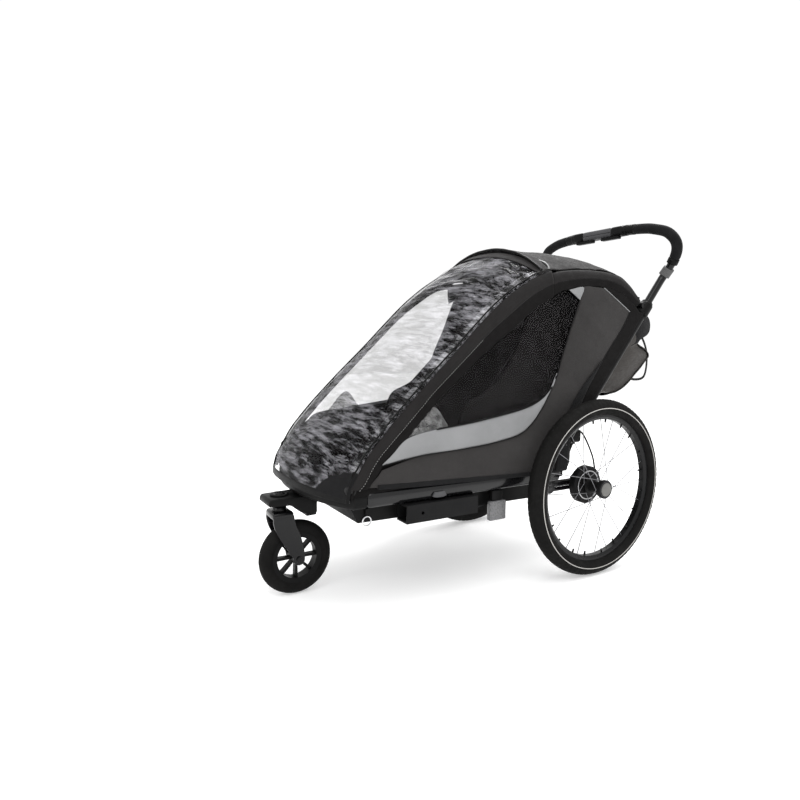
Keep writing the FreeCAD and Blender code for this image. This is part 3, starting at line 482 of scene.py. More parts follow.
def rounded_box(name, low, high, radius, material, body, slot, segments=3):
    """A box from two corners in millimetres with rounded edges."""
    a, b = at(*low), at(*high)
    mesh = bmesh.new()
    bmesh.ops.create_cube(mesh, size=1)
    for vert in mesh.verts:
        vert.co = Vector([a[k] + (b[k] - a[k]) * (vert.co[k] + 0.5) for k in range(3)])
    bmesh.ops.bevel(mesh, geom=mesh.edges[:], offset=radius * MM, segments=segments,
                    affect="EDGES", profile=0.5)
    return piece_from(mesh, name, material, body, slot)


def plate(name, outline, x_low, x_high, radius, material, body, slot, segments=3):
    """A plate in the Y-Z plane: an outline in millimetres, rounded along its edges."""
    mesh = bmesh.new()
    lower = [mesh.verts.new(at(x_low, y, z)) for y, z in outline]
    face = mesh.faces.new(lower)
    grown = bmesh.ops.extrude_face_region(mesh, geom=[face])
    for vert in (g for g in grown["geom"] if isinstance(g, bmesh.types.BMVert)):
        vert.co.x += (x_high - x_low) * MM
    bmesh.ops.recalc_face_normals(mesh, faces=mesh.faces)
    edges = [e for e in mesh.edges if e.calc_face_angle(0) > 0.3]
    bmesh.ops.bevel(mesh, geom=edges, offset=radius * MM, segments=segments, affect="EDGES",
                    profile=0.5, clamp_overlap=True)
    bmesh.ops.triangulate(mesh, faces=[f for f in mesh.faces if len(f.verts) > 6])
    return piece_from(mesh, name, material, body, slot)


def fold_noise(spot, size, seed=0.0):
    """Smooth repeatable noise from -1 to 1 for creases, of a size in millimetres."""
    return noise.noise(Vector((spot[0] / size + seed, spot[1] / size, spot[2] / size)))


# ---------------------------------------------------------------- camera, light and floor

def set_camera():
    """The viewing angle: from ahead on the left, at a child's eye height."""
    yaw, pitch, roll = math.radians(-59.05), math.radians(-5.65), math.radians(0.89)
    ahead = Vector((math.cos(pitch) * math.sin(yaw), math.cos(pitch) * math.cos(yaw),
                    math.sin(pitch)))
    level = Vector((math.cos(yaw), -math.sin(yaw), 0))
    up = level.cross(ahead)
    right = level * math.cos(roll) + up * math.sin(roll)
    up = right.cross(ahead)
    data = bpy.data.cameras.new("camera")
    data.sensor_width = 36
    data.lens = 26.64
    data.clip_start = 0.05
    camera = bpy.data.objects.new("camera", data)
    bpy.context.scene.collection.objects.link(camera)
    turn = Matrix((right, up, -ahead)).transposed().to_4x4()
    camera.matrix_world = Matrix.Translation(at(1404.7, -1321.6, 650.6)) @ turn
    bpy.context.scene.camera = camera


def area_light(name, spot, target, size, power):
    data = bpy.data.lights.new(name, "AREA")
    data.shape = "RECTANGLE"
    data.size, data.size_y = size
    data.energy = power
    lamp = bpy.data.objects.new(name, data)
    lamp.location = spot
    lamp.rotation_euler = (Vector(target) - Vector(spot)).to_track_quat("-Z", "Y").to_euler()
    bpy.context.scene.collection.objects.link(lamp)


def set_stage():
    floor = piece("floor", [(-9, -9, 0), (9, -9, 0), (9, 9, 0), (-9, 9, 0)], [(0, 1, 2, 3)],
                  Shader("floor", (0.80, 0.80, 0.80), 0.9, Emission_Color=(1, 1, 1, 1),
                         Emission_Strength=0.34).done(), "chassis", "black_plastic")
    floor.parent = None
    del floor["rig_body"]
    del floor["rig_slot"]
    world = bpy.data.worlds.new("studio")
    world.use_nodes = True
    sky = world.node_tree.nodes["Background"]
    sky.inputs["Color"].default_value = (1, 1, 1, 1)
    sky.inputs["Strength"].default_value = 1.04
    bpy.context.scene.world = world
    bpy.context.scene.view_settings.view_transform = "Standard"
    area_light("key", (1.6, -1.2, 3.2), (0, 0, 0.4), (2.4, 2.4), 50)
    area_light("top", (-0.2, 1.6, 2.9), (0.1, -0.2, 0.4), (2.2, 1.0), 75)
    area_light("back", (-2.2, 1.8, 2.6), (0, 0, 0.5), (2.0, 2.0), 22)
    area_light("front", (0.6, -3.4, 1.6), (0, -0.2, 0.5), (1.2, 2.2), 18)


set_camera()
set_stage()


# ---------------------------------------------------------------- carried over CAD nodes

paint(GLOSS, "left_side_rail", "right_side_rail", "pivot_cross_tube")
paint(PLASTIC, "nose_bumper", "floor_tray", "caster_arm", "caster_release_clip",
      "brake_lever_housings", "caster_wheel", "release_paddles", *both("brake_backplate"))
paint(DARK_PLASTIC, "tow_socket", *both("brake_drum"), *both("hub"))
paint(GREY_PLASTIC, "tow_lock_button")
paint(BUTTON_GREY, *both("release_button"))
paint(FRAME_PAINT, "fold_brackets", "back_cross_tube", "roof_rails", "front_hoop",
      "caster_stem", *both("upright"), *both("brake_lever"), "pivot_bolts", "caster_axle")
paint(GLOSS_TUBE, "handle_frame", "caster_fork", *both("swing_arm"))
paint(RIM_PAINT, *both("rim"))
paint(STEEL, "tether_ring", *both("axle"), *both("wheel_bearings"))
paint(SPOKE_STEEL, *both("spokes"))
paint(BINDING, "brake_cables")
paint(REFLECTOR, "side_reflectors")


def rails():
    """The lower beams: a rounded gloss section from end to end."""
    for side, _ in SIDES:
        low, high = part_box(f"{side}_side_rail")
        middle, half = (low + high) / 2, (high - low) / 2
        count, verts = 24, []
        stations = [0, 0.003, 0.01, 0.02, 0.05, 0.25, 0.5, 0.75, 0.95, 0.98, 0.99, 0.997, 1]
        for part in stations:
            end = min(part, 1 - part) * 2 * half.y
            shrink = 1 if end > 0.012 else (1 - (1 - end / 0.012) ** 2) ** 0.5 * 0.5 + 0.5
            for k in range(count):
                turn = 2 * math.pi * k / count
                c, s = math.cos(turn), math.sin(turn)
                across = math.copysign(abs(c) ** 0.8, c) * half.x * shrink
                rise = math.copysign(abs(s) ** 0.8, s) * half.z * shrink
                verts.append(Vector((middle.x + across, low.y + 2 * half.y * part,
                                     middle.z + rise)))
        faces = grid_faces(len(stations), count, close_columns=True)
        faces += end_caps(len(stations), count)
        beam = piece(f"{side}_rail_beam", verts, faces, GLOSS, "chassis", "gloss_black_plastic")
        fix_normals(beam)
        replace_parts(beam, f"{side}_side_rail")


rails()

# ---------------------------------------------------------------- soft sides

LOWER_LOW = [(-704, 318), (-560, 311), (-400, 306), (-215, 300), (-75, 302), (-62, 400),
             (-20, 500), (59, 613), (128, 697), (159, 747), (101, 779), (45, 809)]
LOWER_HIGH = [(-668, 356), (-560, 381), (-440, 387), (-330, 397), (-240, 418), (-177, 478),
              (-133, 548), (-108, 622), (-81, 692), (-49, 771), (-39, 809), (0, 811)]
BAND_LOW = [(-672, 366), (-560, 381), (-440, 387), (-330, 397), (-240, 418), (-177, 478),
            (-129, 566)]
BAND_HIGH = {"left": [(-640, 392), (-600, 425), (-520, 441), (-383, 456), (-215, 487),
                      (-150, 530), (-128, 572)],
             "right": [(-664, 396), (-630, 432), (-520, 447), (-383, 462), (-215, 490),
                       (-150, 530), (-128, 572)]}
WINDOW_LOW = {"left": [(-600, 425), (-520, 441), (-383, 456), (-215, 487), (-140, 540),
                       (-112, 612), (-84, 690), (-52, 770)],
              "right": [(-652, 430), (-520, 447), (-383, 462), (-215, 490), (-140, 540),
                        (-112, 612), (-84, 690), (-52, 770)]}
HOOP_MIDDLE = [(-748, 316), (-706, 385), (-662, 436), (-618, 482), (-544, 554), (-470, 622),
               (-407, 682), (-345, 738), (-288, 780), (-232, 813), (-195, 830), (-158, 843)]
HOOP_IN = {"left": [(-706, 316), (-690, 328), (-656, 378), (-595, 432), (-540, 486), (-508, 519),
                    (-370, 631), (-284, 688), (-220, 738), (-150, 776)],
           "right": [(-722, 318), (-700, 352), (-652, 432), (-610, 482), (-566, 528), (-490, 597),
                     (-413, 675), (-355, 729), (-284, 776), (-229, 806), (-178, 822), (-150, 826)]}
SKIRT_OUT = [(-156, 836), (-123, 844), (-44, 853), (53, 854), (115, 844), (160, 820), (207, 785)]
SKIRT_IN = [(-150, 778), (-124, 791), (-94, 798), (-39, 809), (45, 812), (120, 798), (189, 764)]
GABLE = [(-94, 797), (-39, 807), (-51, 772)]
WEDGE_LOW = [(45, 809), (101, 779), (159, 747), (176, 722), (196, 742)]
WEDGE_HIGH = [(60, 813), (120, 800), (170, 775), (190, 760), (204, 748)]
FOOT_Y, FOOT_Z = -85, 352          # foot of the uprights and their direction
UP_Y, UP_Z = 0.6307, 0.7760


def creases(y, z, seed, depth):
    """Soft irregular creases that run slantwise over a panel."""
    slant = y * 0.8 + z
    return depth * (fold_noise((y, z, 0), 70, seed) * 0.7
                    + fold_noise((slant, z * 0.3, 0), 26, seed + 9) * 0.45
                    + fold_noise((slant, y * 0.5, 0), 11, seed + 4) * 0.15)


def edge_calm(v, width=0.12):
    """Zero at a panel's sewn edges, one inside."""
    return min(1.0, v / width) * min(1.0, (1 - v) / width)


def crumples(thing):
    """Give a soft piece its own copy of its mesh."""
    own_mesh(thing)


def soft_side(side, sign):
    """One side's panels, window, bindings and dark facings, set edge to edge."""
    def lower(u, v, y, z):
        swell = 5 * math.sin(math.pi * min(1, v)) * (0.6 + 0.4 * math.sin(math.pi * u))
        return 240.5 + swell + creases(y, z, 3 + sign, 2.2) * edge_calm(v)

    def band(u, v, y, z):
        return 241.5 + 2.0 * math.sin(math.pi * v) + creases(y, z, 31 + sign, 1.0)

    def window(u, v, y, z):
        return 239.5 + creases(y, z, 57 + sign, 2.6) * edge_calm(v, 0.2)

    window_high = [WINDOW_LOW[side][0]] + [p for p in HOOP_IN[side] if -600 < p[0] < -160] \
        + [(-100, 797)]
    low = sheet_between(f"{side}_lower_panel", LOWER_LOW, LOWER_HIGH, lower, CHARCOAL,
                        "chassis", "charcoal_fabric", sign, (150, 30), 0.0014)
    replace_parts(low, f"{side}_side_panel")
    crumples(low)
    crumples(sheet_between(f"{side}_grey_band", BAND_LOW, BAND_HIGH[side], band, GREY_FABRIC,
                           "chassis", "charcoal_fabric", sign, (130, 12), 0.0016))
    crumples(sheet_between(f"{side}_window", WINDOW_LOW[side], window_high, window, WINDOW_FILM,
                           "chassis", "clear_film", sign, (110, 46), 0.0006))
    # A second, brighter film patch at the window's lower front corner: a painted reflection on the
    # creased window film.
    crumples(sheet_between(f"{side}_window_glare_patch", [(-598, 428), (-540, 438), (-486, 447)],
                           [(-596, 432), (-532, 495), (-488, 452)],
                           lambda u, v, y, z: 241 + 2.2 * math.sin(y * 0.24 + z * 0.12)
                           * edge_calm(v, 0.3), FILM_GLARE, "chassis", "clear_film", sign, (50, 14),
                           0.0005))
    gable_low, gable_high = [GABLE[0], GABLE[2]], [GABLE[0], GABLE[1], GABLE[2]]
    crumples(sheet_between(f"{side}_gable", gable_low, gable_high,
                           lambda u, v, y, z: 242.5, GREY_FABRIC, "chassis",
                           "charcoal_fabric", sign, (16, 8), 0.0016))

    def piping(name, curve, radius, material, x, count=120):
        path = [at(sign * x, p.x, p.y) for p in resample(curve, count)]
        return sweep(f"{side}_{name}", path, ring_profile(radius * MM, 8), material, "chassis",
                     "black_fabric")

    crumples(piping("window_binding", WINDOW_LOW[side][1:], 1.6, BINDING, 242))
    crumples(piping("band_seam", BAND_LOW, 1.3, BINDING, 242.6))
    crumples(piping("panel_edge", LOWER_LOW[5:10], 1.2, BINDING, 241))
    crumples(piping("panel_top_edge", [(159, 748), (101, 780), (45, 810)], 1.3, GREY_FABRIC,
                    241.5, 60))
    wedge = sheet_between(f"{side}_wedge", WEDGE_LOW, WEDGE_HIGH,
                          lambda u, v, y, z: 241 + math.sin(math.pi * v), PANEL_BLACK,
                          "chassis", "black_fabric", sign, (40, 8), 0.0012)
    crumples(wedge)
    crumples(sheet_between(f"{side}_rear_facing", [(-74, 301), (-62, 400), (-20, 500), (48, 600)],
                           [(-122, 301), (-116, 372), (-92, 436), (-52, 508), (44, 603)],
                           lambda u, v, y, z: 243.6 + 4.2 * math.sin(math.pi * 0.5 * min(1, v * 1.3)),
                           BLACK_FABRIC, "chassis", "black_fabric", sign, (60, 10), 0.0014))
    crumples(sheet_between(f"{side}_sill_facing", [(-680, 312), (-560, 306), (-400, 301), (-215, 295),
                                                   (-75, 297)],
                           [(-680, 323), (-560, 318), (-400, 312), (-215, 306), (-75, 308)],
                           lambda u, v, y, z: 242.6 + 0.8 * v, BLACK_FABRIC, "chassis",
                           "black_fabric", sign, (120, 5), 0.0012))
    tube_front = [(FOOT_Y + UP_Y * t - 7, FOOT_Z + UP_Z * t + 5)
                  for t in (30, 130, 230, 340, 440, 505)]
    crumples(sheet_between(f"{side}_rear_gusset", LOWER_LOW[4:10], tube_front,
                           lambda u, v, y, z: 240 + 0.5 * v, PANEL_BLACK, "chassis",
                           "black_fabric", sign, (60, 10), 0.0014))
    crumples(piping("sill_edge", [(-680, 315), (-560, 309), (-400, 304), (-215, 298), (-75, 300)],
                    2.2, BINDING, 240))


def hem_band(side, sign, part, outer, inner, body, count, stitched):
    """The band over a tube: charcoal outside, a stitched line, black towards the window."""
    outer, inner = resample(outer, count), resample(inner, count)
    whole = []
    for i in range(count):
        row = []
        for j in range(15):
            v = j / 14
            spot = inner[i].lerp(outer[i], v)
            roll = max(0.0, (v - 0.72) / 0.28)
            x = 243.5 - 2.5 * abs(2 * v - 1) ** 2 - 4.5 * roll ** 2
            x += 0.8 * fold_noise((spot.x, spot.y, 0), 22, sign * 5) * (1 - roll)
            lift = 3.0 * math.sin(math.pi * min(1, roll * 0.5)) if roll else 0
            row.append(at(sign * x, spot.x, spot.y + lift * 0.4))
        whole.append(row)
    for name, first, last, material in (("hem", 0, 7, PANEL_BLACK), ("binding", 7, 14, CHARCOAL_ROOF)):
        verts = [spot for row in whole for spot in row[first:last + 1]]
        made = piece(f"{side}_{part}_{name}", verts,
                     grid_faces(count, last - first + 1, flip=sign > 0), material, body,
                     "black_fabric")
        cloth(made, count, last - first + 1, "stretched")
        thicken(made, 0.0018)
    if stitched:
        centre = [row[7] for row in whole[:stitched]]
        stitches(f"{side}_{part}_stitches", centre, body, Vector((sign, 0, 0)))


def stitches(name, path, body, out, length=0.0030, gap=0.0034, width=0.0009):
    """A row of short raised stitches along a path."""
    walked = 0.0
    verts, faces = [], []
    for a, b in zip(path, path[1:]):
        span = (b - a).length
        along = (b - a) / span
        while walked < span:
            spot = a + along * walked + out * 0.0016
            side = along.cross(out).normalized() * width / 2
            half = along * length / 2
            base = len(verts)
            verts += [spot - half - side, spot - half + side, spot + half + side,
                      spot + half - side]
            verts += [spot - half * 0.6 - side * 0.6 + out * 0.0007,
                      spot - half * 0.6 + side * 0.6 + out * 0.0007,
                      spot + half * 0.6 + side * 0.6 + out * 0.0007,
                      spot + half * 0.6 - side * 0.6 + out * 0.0007]
            faces += [tuple(base + k for k in f) for f in
                      ((0, 1, 2, 3), (4, 7, 6, 5), (0, 4, 5, 1), (1, 5, 6, 2), (2, 6, 7, 3),
                       (3, 7, 4, 0))]
            walked += length + gap
        walked -= span
    made = piece(name, verts, faces, THREAD, body, "reflector")
    fix_normals(made)


for side, sign in SIDES:
    soft_side(side, sign)
    hem_band(side, sign, "front", HOOP_MIDDLE, HOOP_IN[side], "hoop", 150, 95)
    hem_band(side, sign, "skirt", SKIRT_OUT, SKIRT_IN, "roof", 80, 0)

# ---------------------------------------------------------------- footwell lining

FOOTWELL = [(-742, 312, 326), (-741, 292, 328), (-738, 270, 332), (-700, 266, 368),
            (-668, 265, 402), (-640, 264.5, 425), (-600, 264.5, 434), (-520, 264.5, 442),
            (-440, 264.5, 449), (-330, 264.5, 464), (-240, 264.5, 482), (-177, 264.5, 505),
            (-152, 264.5, 520)]


def footwell():
    """A dark fabric tub on the tray, up both sides behind the panels and up to the nose."""
    floor_line = resample([(y, z, 0) for y, z, _ in FOOTWELL], 70)
    top_line = resample([(y, z, 0) for y, _, z in FOOTWELL], 70)
    verts = []
    for low, high in zip(floor_line, top_line):
        rise = high.y - low.y
        row = [(-233, high.y - rise * k / 8 * 0.75) for k in range(9)]
        row += [(-233 + 30 * k / 4, high.y - rise * (0.75 + 0.25 * k / 4)) for k in range(1, 5)]
        row += [(-203 + 406 * k / 24, low.y) for k in range(1, 25)]
        row += [(-x, z) for x, z in reversed(row[:12])]
        for x, z in row:
            drift = 1.2 * fold_noise((x, low.x, z), 50, 77) if abs(x) > 203 else 0
            verts.append(at(x + math.copysign(drift, x), low.x, z))
    columns = len(verts) // 70
    lining = piece("footwell_lining", verts, grid_faces(70, columns), PANEL_BLACK, "chassis",
                   "black_fabric")
    fix_normals(lining)
    cloth(lining, 70, columns, "stretched", ["floor_tray"])
    thicken(lining, 0.0012, 0)
    crumples(lining)


footwell()

# ---------------------------------------------------------------- clear front cover

COVER_LINE = [(-748, 286), (-746, 300), (-738, 326), (-706, 385), (-662, 436), (-618, 482),
              (-544, 554), (-470, 622), (-407, 682), (-345, 738), (-288, 780), (-232, 813),
              (-195, 830), (-158, 843)]
COVER_BULGE = [(0.0, 56), (0.04, 54), (0.10, 40), (0.2, 32), (0.4, 36), (0.6, 44), (0.8, 52),
               (0.92, 58), (1.0, 66)]
HALF = 226          # half the distance between the hoop tubes
WRAP = 16           # how much of the cover lies round each tube
TUBE_CLEAR = 10.5   # from the middle of a hoop tube to the cover
COVER_LENGTH = 860  # along the film, for the size of its folds
COVER_END = 0.972   # where the film ends under the top hem, as a part of that line
PLEAT = 13          # from one small pleat at the sewn edge to the next


def between(table, value):
    for (a, first), (b, last) in zip(table, table[1:]):
        if value <= b:
            return first + (last - first) * max(0, value - a) / (b - a)
    return table[-1][1]


def cover_point(u, t, line, extra=0.0):
    """A point of the front cover: u from nose to roof, t from -1 to 1 across; its edges wrap
    round the outside of the hoop tubes."""
    place = u * (len(line) - 1)
    index = min(int(place), len(line) - 2)
    spot = line[index].lerp(line[index + 1], place - index)
    ahead = line[min(index + 2, len(line) - 1)] - line[max(index - 1, 0)]
    normal = Vector((-ahead.y, ahead.x)).normalized()
    reach = abs(t) * (HALF + WRAP)
    turn = max(0.0, reach - HALF) / WRAP * math.pi / 2
    across = min(reach, HALF) + TUBE_CLEAR * math.sin(turn)
    crown = between(COVER_BULGE, u) * (1 - min(1, reach / HALF) ** 2.3)
    spot = spot + normal * (crown + extra + TUBE_CLEAR * math.cos(turn))
    return math.copysign(across, t), spot.x, spot.y


def front_cover():
    line = resample(COVER_LINE, 240)
    rows, columns = 230, 150
    verts = []
    for i in range(rows):
        u = COVER_END * i / (rows - 1)
        for j in range(columns):
            t = 2 * j / (columns - 1) - 1
            x = cover_point(u, t, line)[0]
            walked = u * COVER_LENGTH
            sag = fold_noise((x * 0.32, walked, 0), 46, 2.0) * 3.4
            ripple = fold_noise((x * 0.25 + walked * 0.22, walked, 0), 15, 7.0) * 1.9
            slant = fold_noise((x * 0.5 - walked * 0.35, walked * 0.8, 3), 24, 5.0) * 2.2
            from_edge = (1 - abs(t)) * 222
            near_edge = math.exp(-from_edge / 16)
            phase = 2 * fold_noise((walked, t, 0), 40)
            pucker = math.sin(walked * 2 * math.pi / PLEAT + phase) * near_edge * 1.8
            calm = min(1, from_edge / 12) * min(1, u / 0.05)
            extra = (sag + ripple + slant) * calm + pucker
            verts.append(at(*cover_point(u, t, line, extra)))
    film_sheet = piece("cover_film", verts, grid_faces(rows, columns), CLEAR_FILM, "hoop",
                       "clear_film")
    fix_normals(film_sheet)
    cloth(film_sheet, rows, columns, "stretched", ["front_hoop"])
    thicken(film_sheet, 0.0006)
    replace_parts(film_sheet, "front_cover")

    for side, sign, edge in (("left", 1, [(0, 0.97), (1, 0.97)]),
                             ("right", -1, [(0, 0.70), (0.08, 0.85), (0.2, 0.95), (0.4, 0.94),
                                            (0.6, 0.83), (0.8, 0.73), (1, 0.66)])):
        path = [at(*cover_point(k / 159 * 0.97, sign * between(edge, k / 159 * 0.97), line, 1.5))
                for k in range(160)]
        sweep(f"{side}_cover_piping", path, ring_profile(0.0021, 8), BINDING, "hoop",
              "black_fabric")

    def facing(name, rows, across, place, material, thick, slot="black_fabric"):
        """Cloth that follows the cover; place(i, j) gives u, t and the lift off its line."""
        verts = []
        for i in range(rows):
            for j in range(across):
                u, t, lift = place(i, j)
                verts.append(at(*cover_point(u, t, line, lift)))
        made = piece(name, verts, grid_faces(rows, across), material, "hoop", slot)
        fix_normals(made)
        cloth(made, rows, across, "stretched", ["front_hoop"])
        thicken(made, thick, offset=0)

    def strip(name, u_low, u_high, lift, count, material, t_low=-1.0, t_high=1.0, across=90,
              thick=0.0016, slot="black_fabric"):
        def place(i, j):
            return (u_low + (u_high - u_low) * i / (count - 1),
                    t_low + (t_high - t_low) * j / (across - 1),
                    lift + 0.5 * fold_noise((j * 9, i * 9, 0), 20))
        facing(name, count, across, place, material, thick, slot)

    strip("cover_nose_hem", 0.0, 0.014, 1.6, 8, BINDING)
    strip("cover_top_hem", 0.945, 0.978, 2.0, 10, CHARCOAL_ROOF)
    far_edge = [(0, 0.75), (0.1, 0.64), (0.45, 0.50), (0.65, 0.40), (0.8, 0.24), (1, 0.05)]
    near_edge = [(0, 0.80), (0.7, 0.80), (0.85, 0.60), (1, 0.40)]
    for side, sign in SIDES:
        def border(i, j):
            u = 0.01 + 0.95 * i / 199
            inner = between(near_edge if sign > 0 else far_edge, u)
            return u, sign * (inner + (1 - inner) * j / 29), -6.5

        def corner(i, j):
            t = low + (high - low) * j / 29
            reach = 0.075 * min(1, (abs(t) - 0.60) / 0.36) ** 0.7
            return 0.010 + reach * (i / 23), t, 2.2

        facing(f"{side}_cover_border", 200, 30, border, PANEL_BLACK, 0.0016)
        low, high = sorted((sign * 0.905, sign * 0.985))
        # A strip of the denser, whiter film along each side of the cover: a painted glint where the film
        # bunches at the edge.
        strip(f"{side}_cover_edge_glint", 0.03, 0.94, 1.6, 220, FILM_EDGE_GLINT, low, high, 10, 0.0006,
              "clear_film")
        # The bottom corner is faced with fabric.
        low, high = sorted((sign * 0.60, sign * 1.0))
        facing(f"{side}_cover_corner", 24, 30, corner, BLACK_FABRIC, 0.0014)


front_cover()

# ---------------------------------------------------------------- roof

ROOF_LINE = [(-190, 843), (-158, 848), (-123, 850), (-44, 858), (53, 859), (115, 849), (160, 826),
             (207, 790)]
ROOF_CROWN = [(0, 79), (0.08, 74), (0.3, 68), (0.6, 56), (0.8, 40), (1, 26)]


def roof():
    line = resample(ROOF_LINE, 90)
    rows, columns = 90, 110
    verts = []
    for i, spot in enumerate(line):
        u = i / (rows - 1)
        for j in range(columns):
            t = 2 * j / (columns - 1) - 1
            crown = between(ROOF_CROWN, u) * (1 - abs(t) ** 2.2)
            seam = 1.6 * math.exp(-((spot.x - 108) / 4) ** 2)
            pucker = 0.9 * math.sin(t * 60 + 3 * fold_noise((t * 90, 0, 0), 30)) \
                * math.exp(-abs(spot.x - 108) / 10)
            drift = 1.8 * fold_noise((t * 200, spot.x, 0), 75, 4) \
                + 0.9 * fold_noise((t * 200, spot.x, 0), 24, 8)
            verts.append(at(234 * t, spot.x, spot.y + crown - seam + pucker + drift))
    top = piece("roof_cover", verts, grid_faces(rows, columns), CHARCOAL_ROOF, "roof",
                "charcoal_fabric")
    fix_normals(top)
    cloth(top, rows, columns, "stretched", ["roof_rails"])
    thicken(top, 0.0022)
    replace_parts(top, "roof_canopy")
    sweep("roof_rear_binding", verts[-columns:], ring_profile(0.0032, 8), BINDING, "roof", "black_fabric")
    sweep("roof_front_binding", verts[:columns], ring_profile(0.0036, 8), BINDING, "roof",
          "black_fabric")


roof()

# ---------------------------------------------------------------- wheels

def tyre(name, centre, radius, section, body, node, tread, steps):
    """A tyre with a bead that sits in the rim, sidewalls, and a tread of shallow blocks."""
    outline = []
    for k in range(29):
        angle = math.radians(-128 + 256 * k / 28)
        outline.append((section * math.sin(angle), radius - section
                        + section * math.cos(angle)))
    outline += [(section * 0.55, radius - section * 1.74), (-section * 0.55, radius - section * 1.74)]
    outline = [(a * MM, o * MM) for a, o in outline]

    def blocks(angle, along, out):
        across = abs(along) / (section * MM)
        if out < (radius - section) * MM or across > 0.9 or not tread:
            return along, out
        step = int(round(angle / (2 * math.pi) * steps))
        if across < 0.12:
            return along, out - 0.0011
        if 0.38 < across < 0.5:
            return along, out - 0.0012
        shift = 0 if across < 0.5 else 2
        if (step + shift) % 4 == 0:
            return along, out - (0.0010 if across < 0.75 else 0.0016)
        return along, out

    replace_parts(lathe(name, outline, centre, RUBBER, body, "tyre_rubber", steps, blocks), node)


def torus_ring(name, centre, radius, width, thickness, x, material, body, slot, sign, steps=96):
    profile = [(x - thickness, radius - width / 2), (x, radius - width / 2 + 0.3),
               (x, radius + width / 2 - 0.3), (x - thickness, radius + width / 2)]
    return lathe(name, [(a * MM, o * MM) for a, o in profile], centre, material, body, slot,
                 steps, sign=sign)


for side, sign in SIDES:
    wheel = f"{side}_wheel"
    centre = Vector((sign * 0.285, AXLE_Y, AXLE_Z))
    tyre(f"{side}_tyre_tread", centre, 250, 25, wheel, f"{side}_tyre", True, 360)
    torus_ring(f"{side}_tyre_stripe", centre, 226, 2.6, 2.2, 25.6, STRIPE, wheel, "reflector",
               sign, 180)
    # Spoke nipples and valve
    verts, faces = [], []
    for k in range(20):
        angle = 2 * math.pi * (k + 0.5) / 20
        out = Vector((0, math.cos(angle), math.sin(angle)))
        tangent = Vector((0, -math.sin(angle), math.cos(angle)))
        base = len(verts)
        lean = sign * (0.004 if k % 2 else -0.004)
        for reach, thick in ((0.1945, 0.0026), (0.186, 0.0024), (0.184, 0.0016)):
            for q in range(8):
                turn = 2 * math.pi * q / 8
                verts.append(centre + Vector((lean, 0, 0)) + out * reach
                             + tangent * thick * math.cos(turn)
                             + Vector((thick * math.sin(turn), 0, 0)))
        for ring in range(2):
            for q in range(8):
                a, b = base + ring * 8 + q, base + ring * 8 + (q + 1) % 8
                faces.append((a, b, b + 8, a + 8))
        faces.append(tuple(base + q for q in range(8)))
        faces.append(tuple(base + 16 + q for q in range(8))[::-1])
    nipples = piece(f"{side}_spoke_nipples", verts, faces, RIM_PAINT, wheel, "black_rim")
    fix_normals(nipples)
    out = Vector((0, math.cos(2.2), math.sin(2.2)))
    stem = [centre + out * r for r in (0.196, 0.188, 0.180, 0.172, 0.164)]
    sweep(f"{side}_valve", stem, ring_profile(0.0036, 12), RUBBER, wheel, "tyre_rubber")
    # Drum ring and hub cap ring
    torus_ring(f"{side}_drum_ring", Vector((0, AXLE_Y, AXLE_Z)), 40.5, 3.0, 1.2, 257.9, STEEL,
               wheel, "steel", sign)
    torus_ring(f"{side}_cap_ring", Vector((0, AXLE_Y, AXLE_Z)), 22.4, 1.6, 1.0, 320.5,
               GREY_PLASTIC, wheel, "grey_plastic", sign)

for side, sign in SIDES:
    x_in, x_out = (224, 240) if sign > 0 else (-240, -224)
    lens = rounded_box(f"{side}_reflector_lens", (x_in, -344, 188), (x_out, -290, 239), 4,
                       REFLECTOR, "chassis", "reflector")
    rounded_box(f"{side}_reflector_hanger", (min(sign * 224.5, sign * 233.5), -334, 236),
                (max(sign * 224.5, sign * 233.5), -300, 266), 1.5, PLASTIC, "chassis",
                "black_plastic")
    if sign > 0:
        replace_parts(lens, "side_reflectors")
    # Brake lever and its housing
    x = sign * 193
    lever = sweep(f"{side}_brake_lever_blade",
                  [at(x, p.x, p.y) for p in resample([(2, 388), (-5, 366), (-16, 344), (-25, 324),
                                                      (-31, 303)], 40)],
                  [(0.0062 * math.cos(a * math.pi / 8), 0.0052 * math.sin(a * math.pi / 8))
                   for a in range(16)], PLASTIC, f"{side}_lever", "black_plastic")
    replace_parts(lever, f"{side}_brake_lever")
    case = rounded_box(f"{side}_lever_case", (x - 12, -22, 364), (x + 12, 22, 402), 8, PLASTIC,
                       "chassis", "black_plastic", 4)
    if sign > 0:
        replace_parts(case, "brake_lever_housings")
    sweep(f"{side}_lever_carrier", [at(sign * 203, y, 370) for y in (-84, -60, -36, -14)],
          ring_profile(0.006, 12), FRAME_PAINT, "chassis", "black_plastic")

caster_low, caster_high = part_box("caster_tyre")
caster_centre = (caster_low + caster_high) / 2
tyre("caster_tyre_smooth", caster_centre, 96, 20, "caster_roller", "caster_tyre", False, 128)


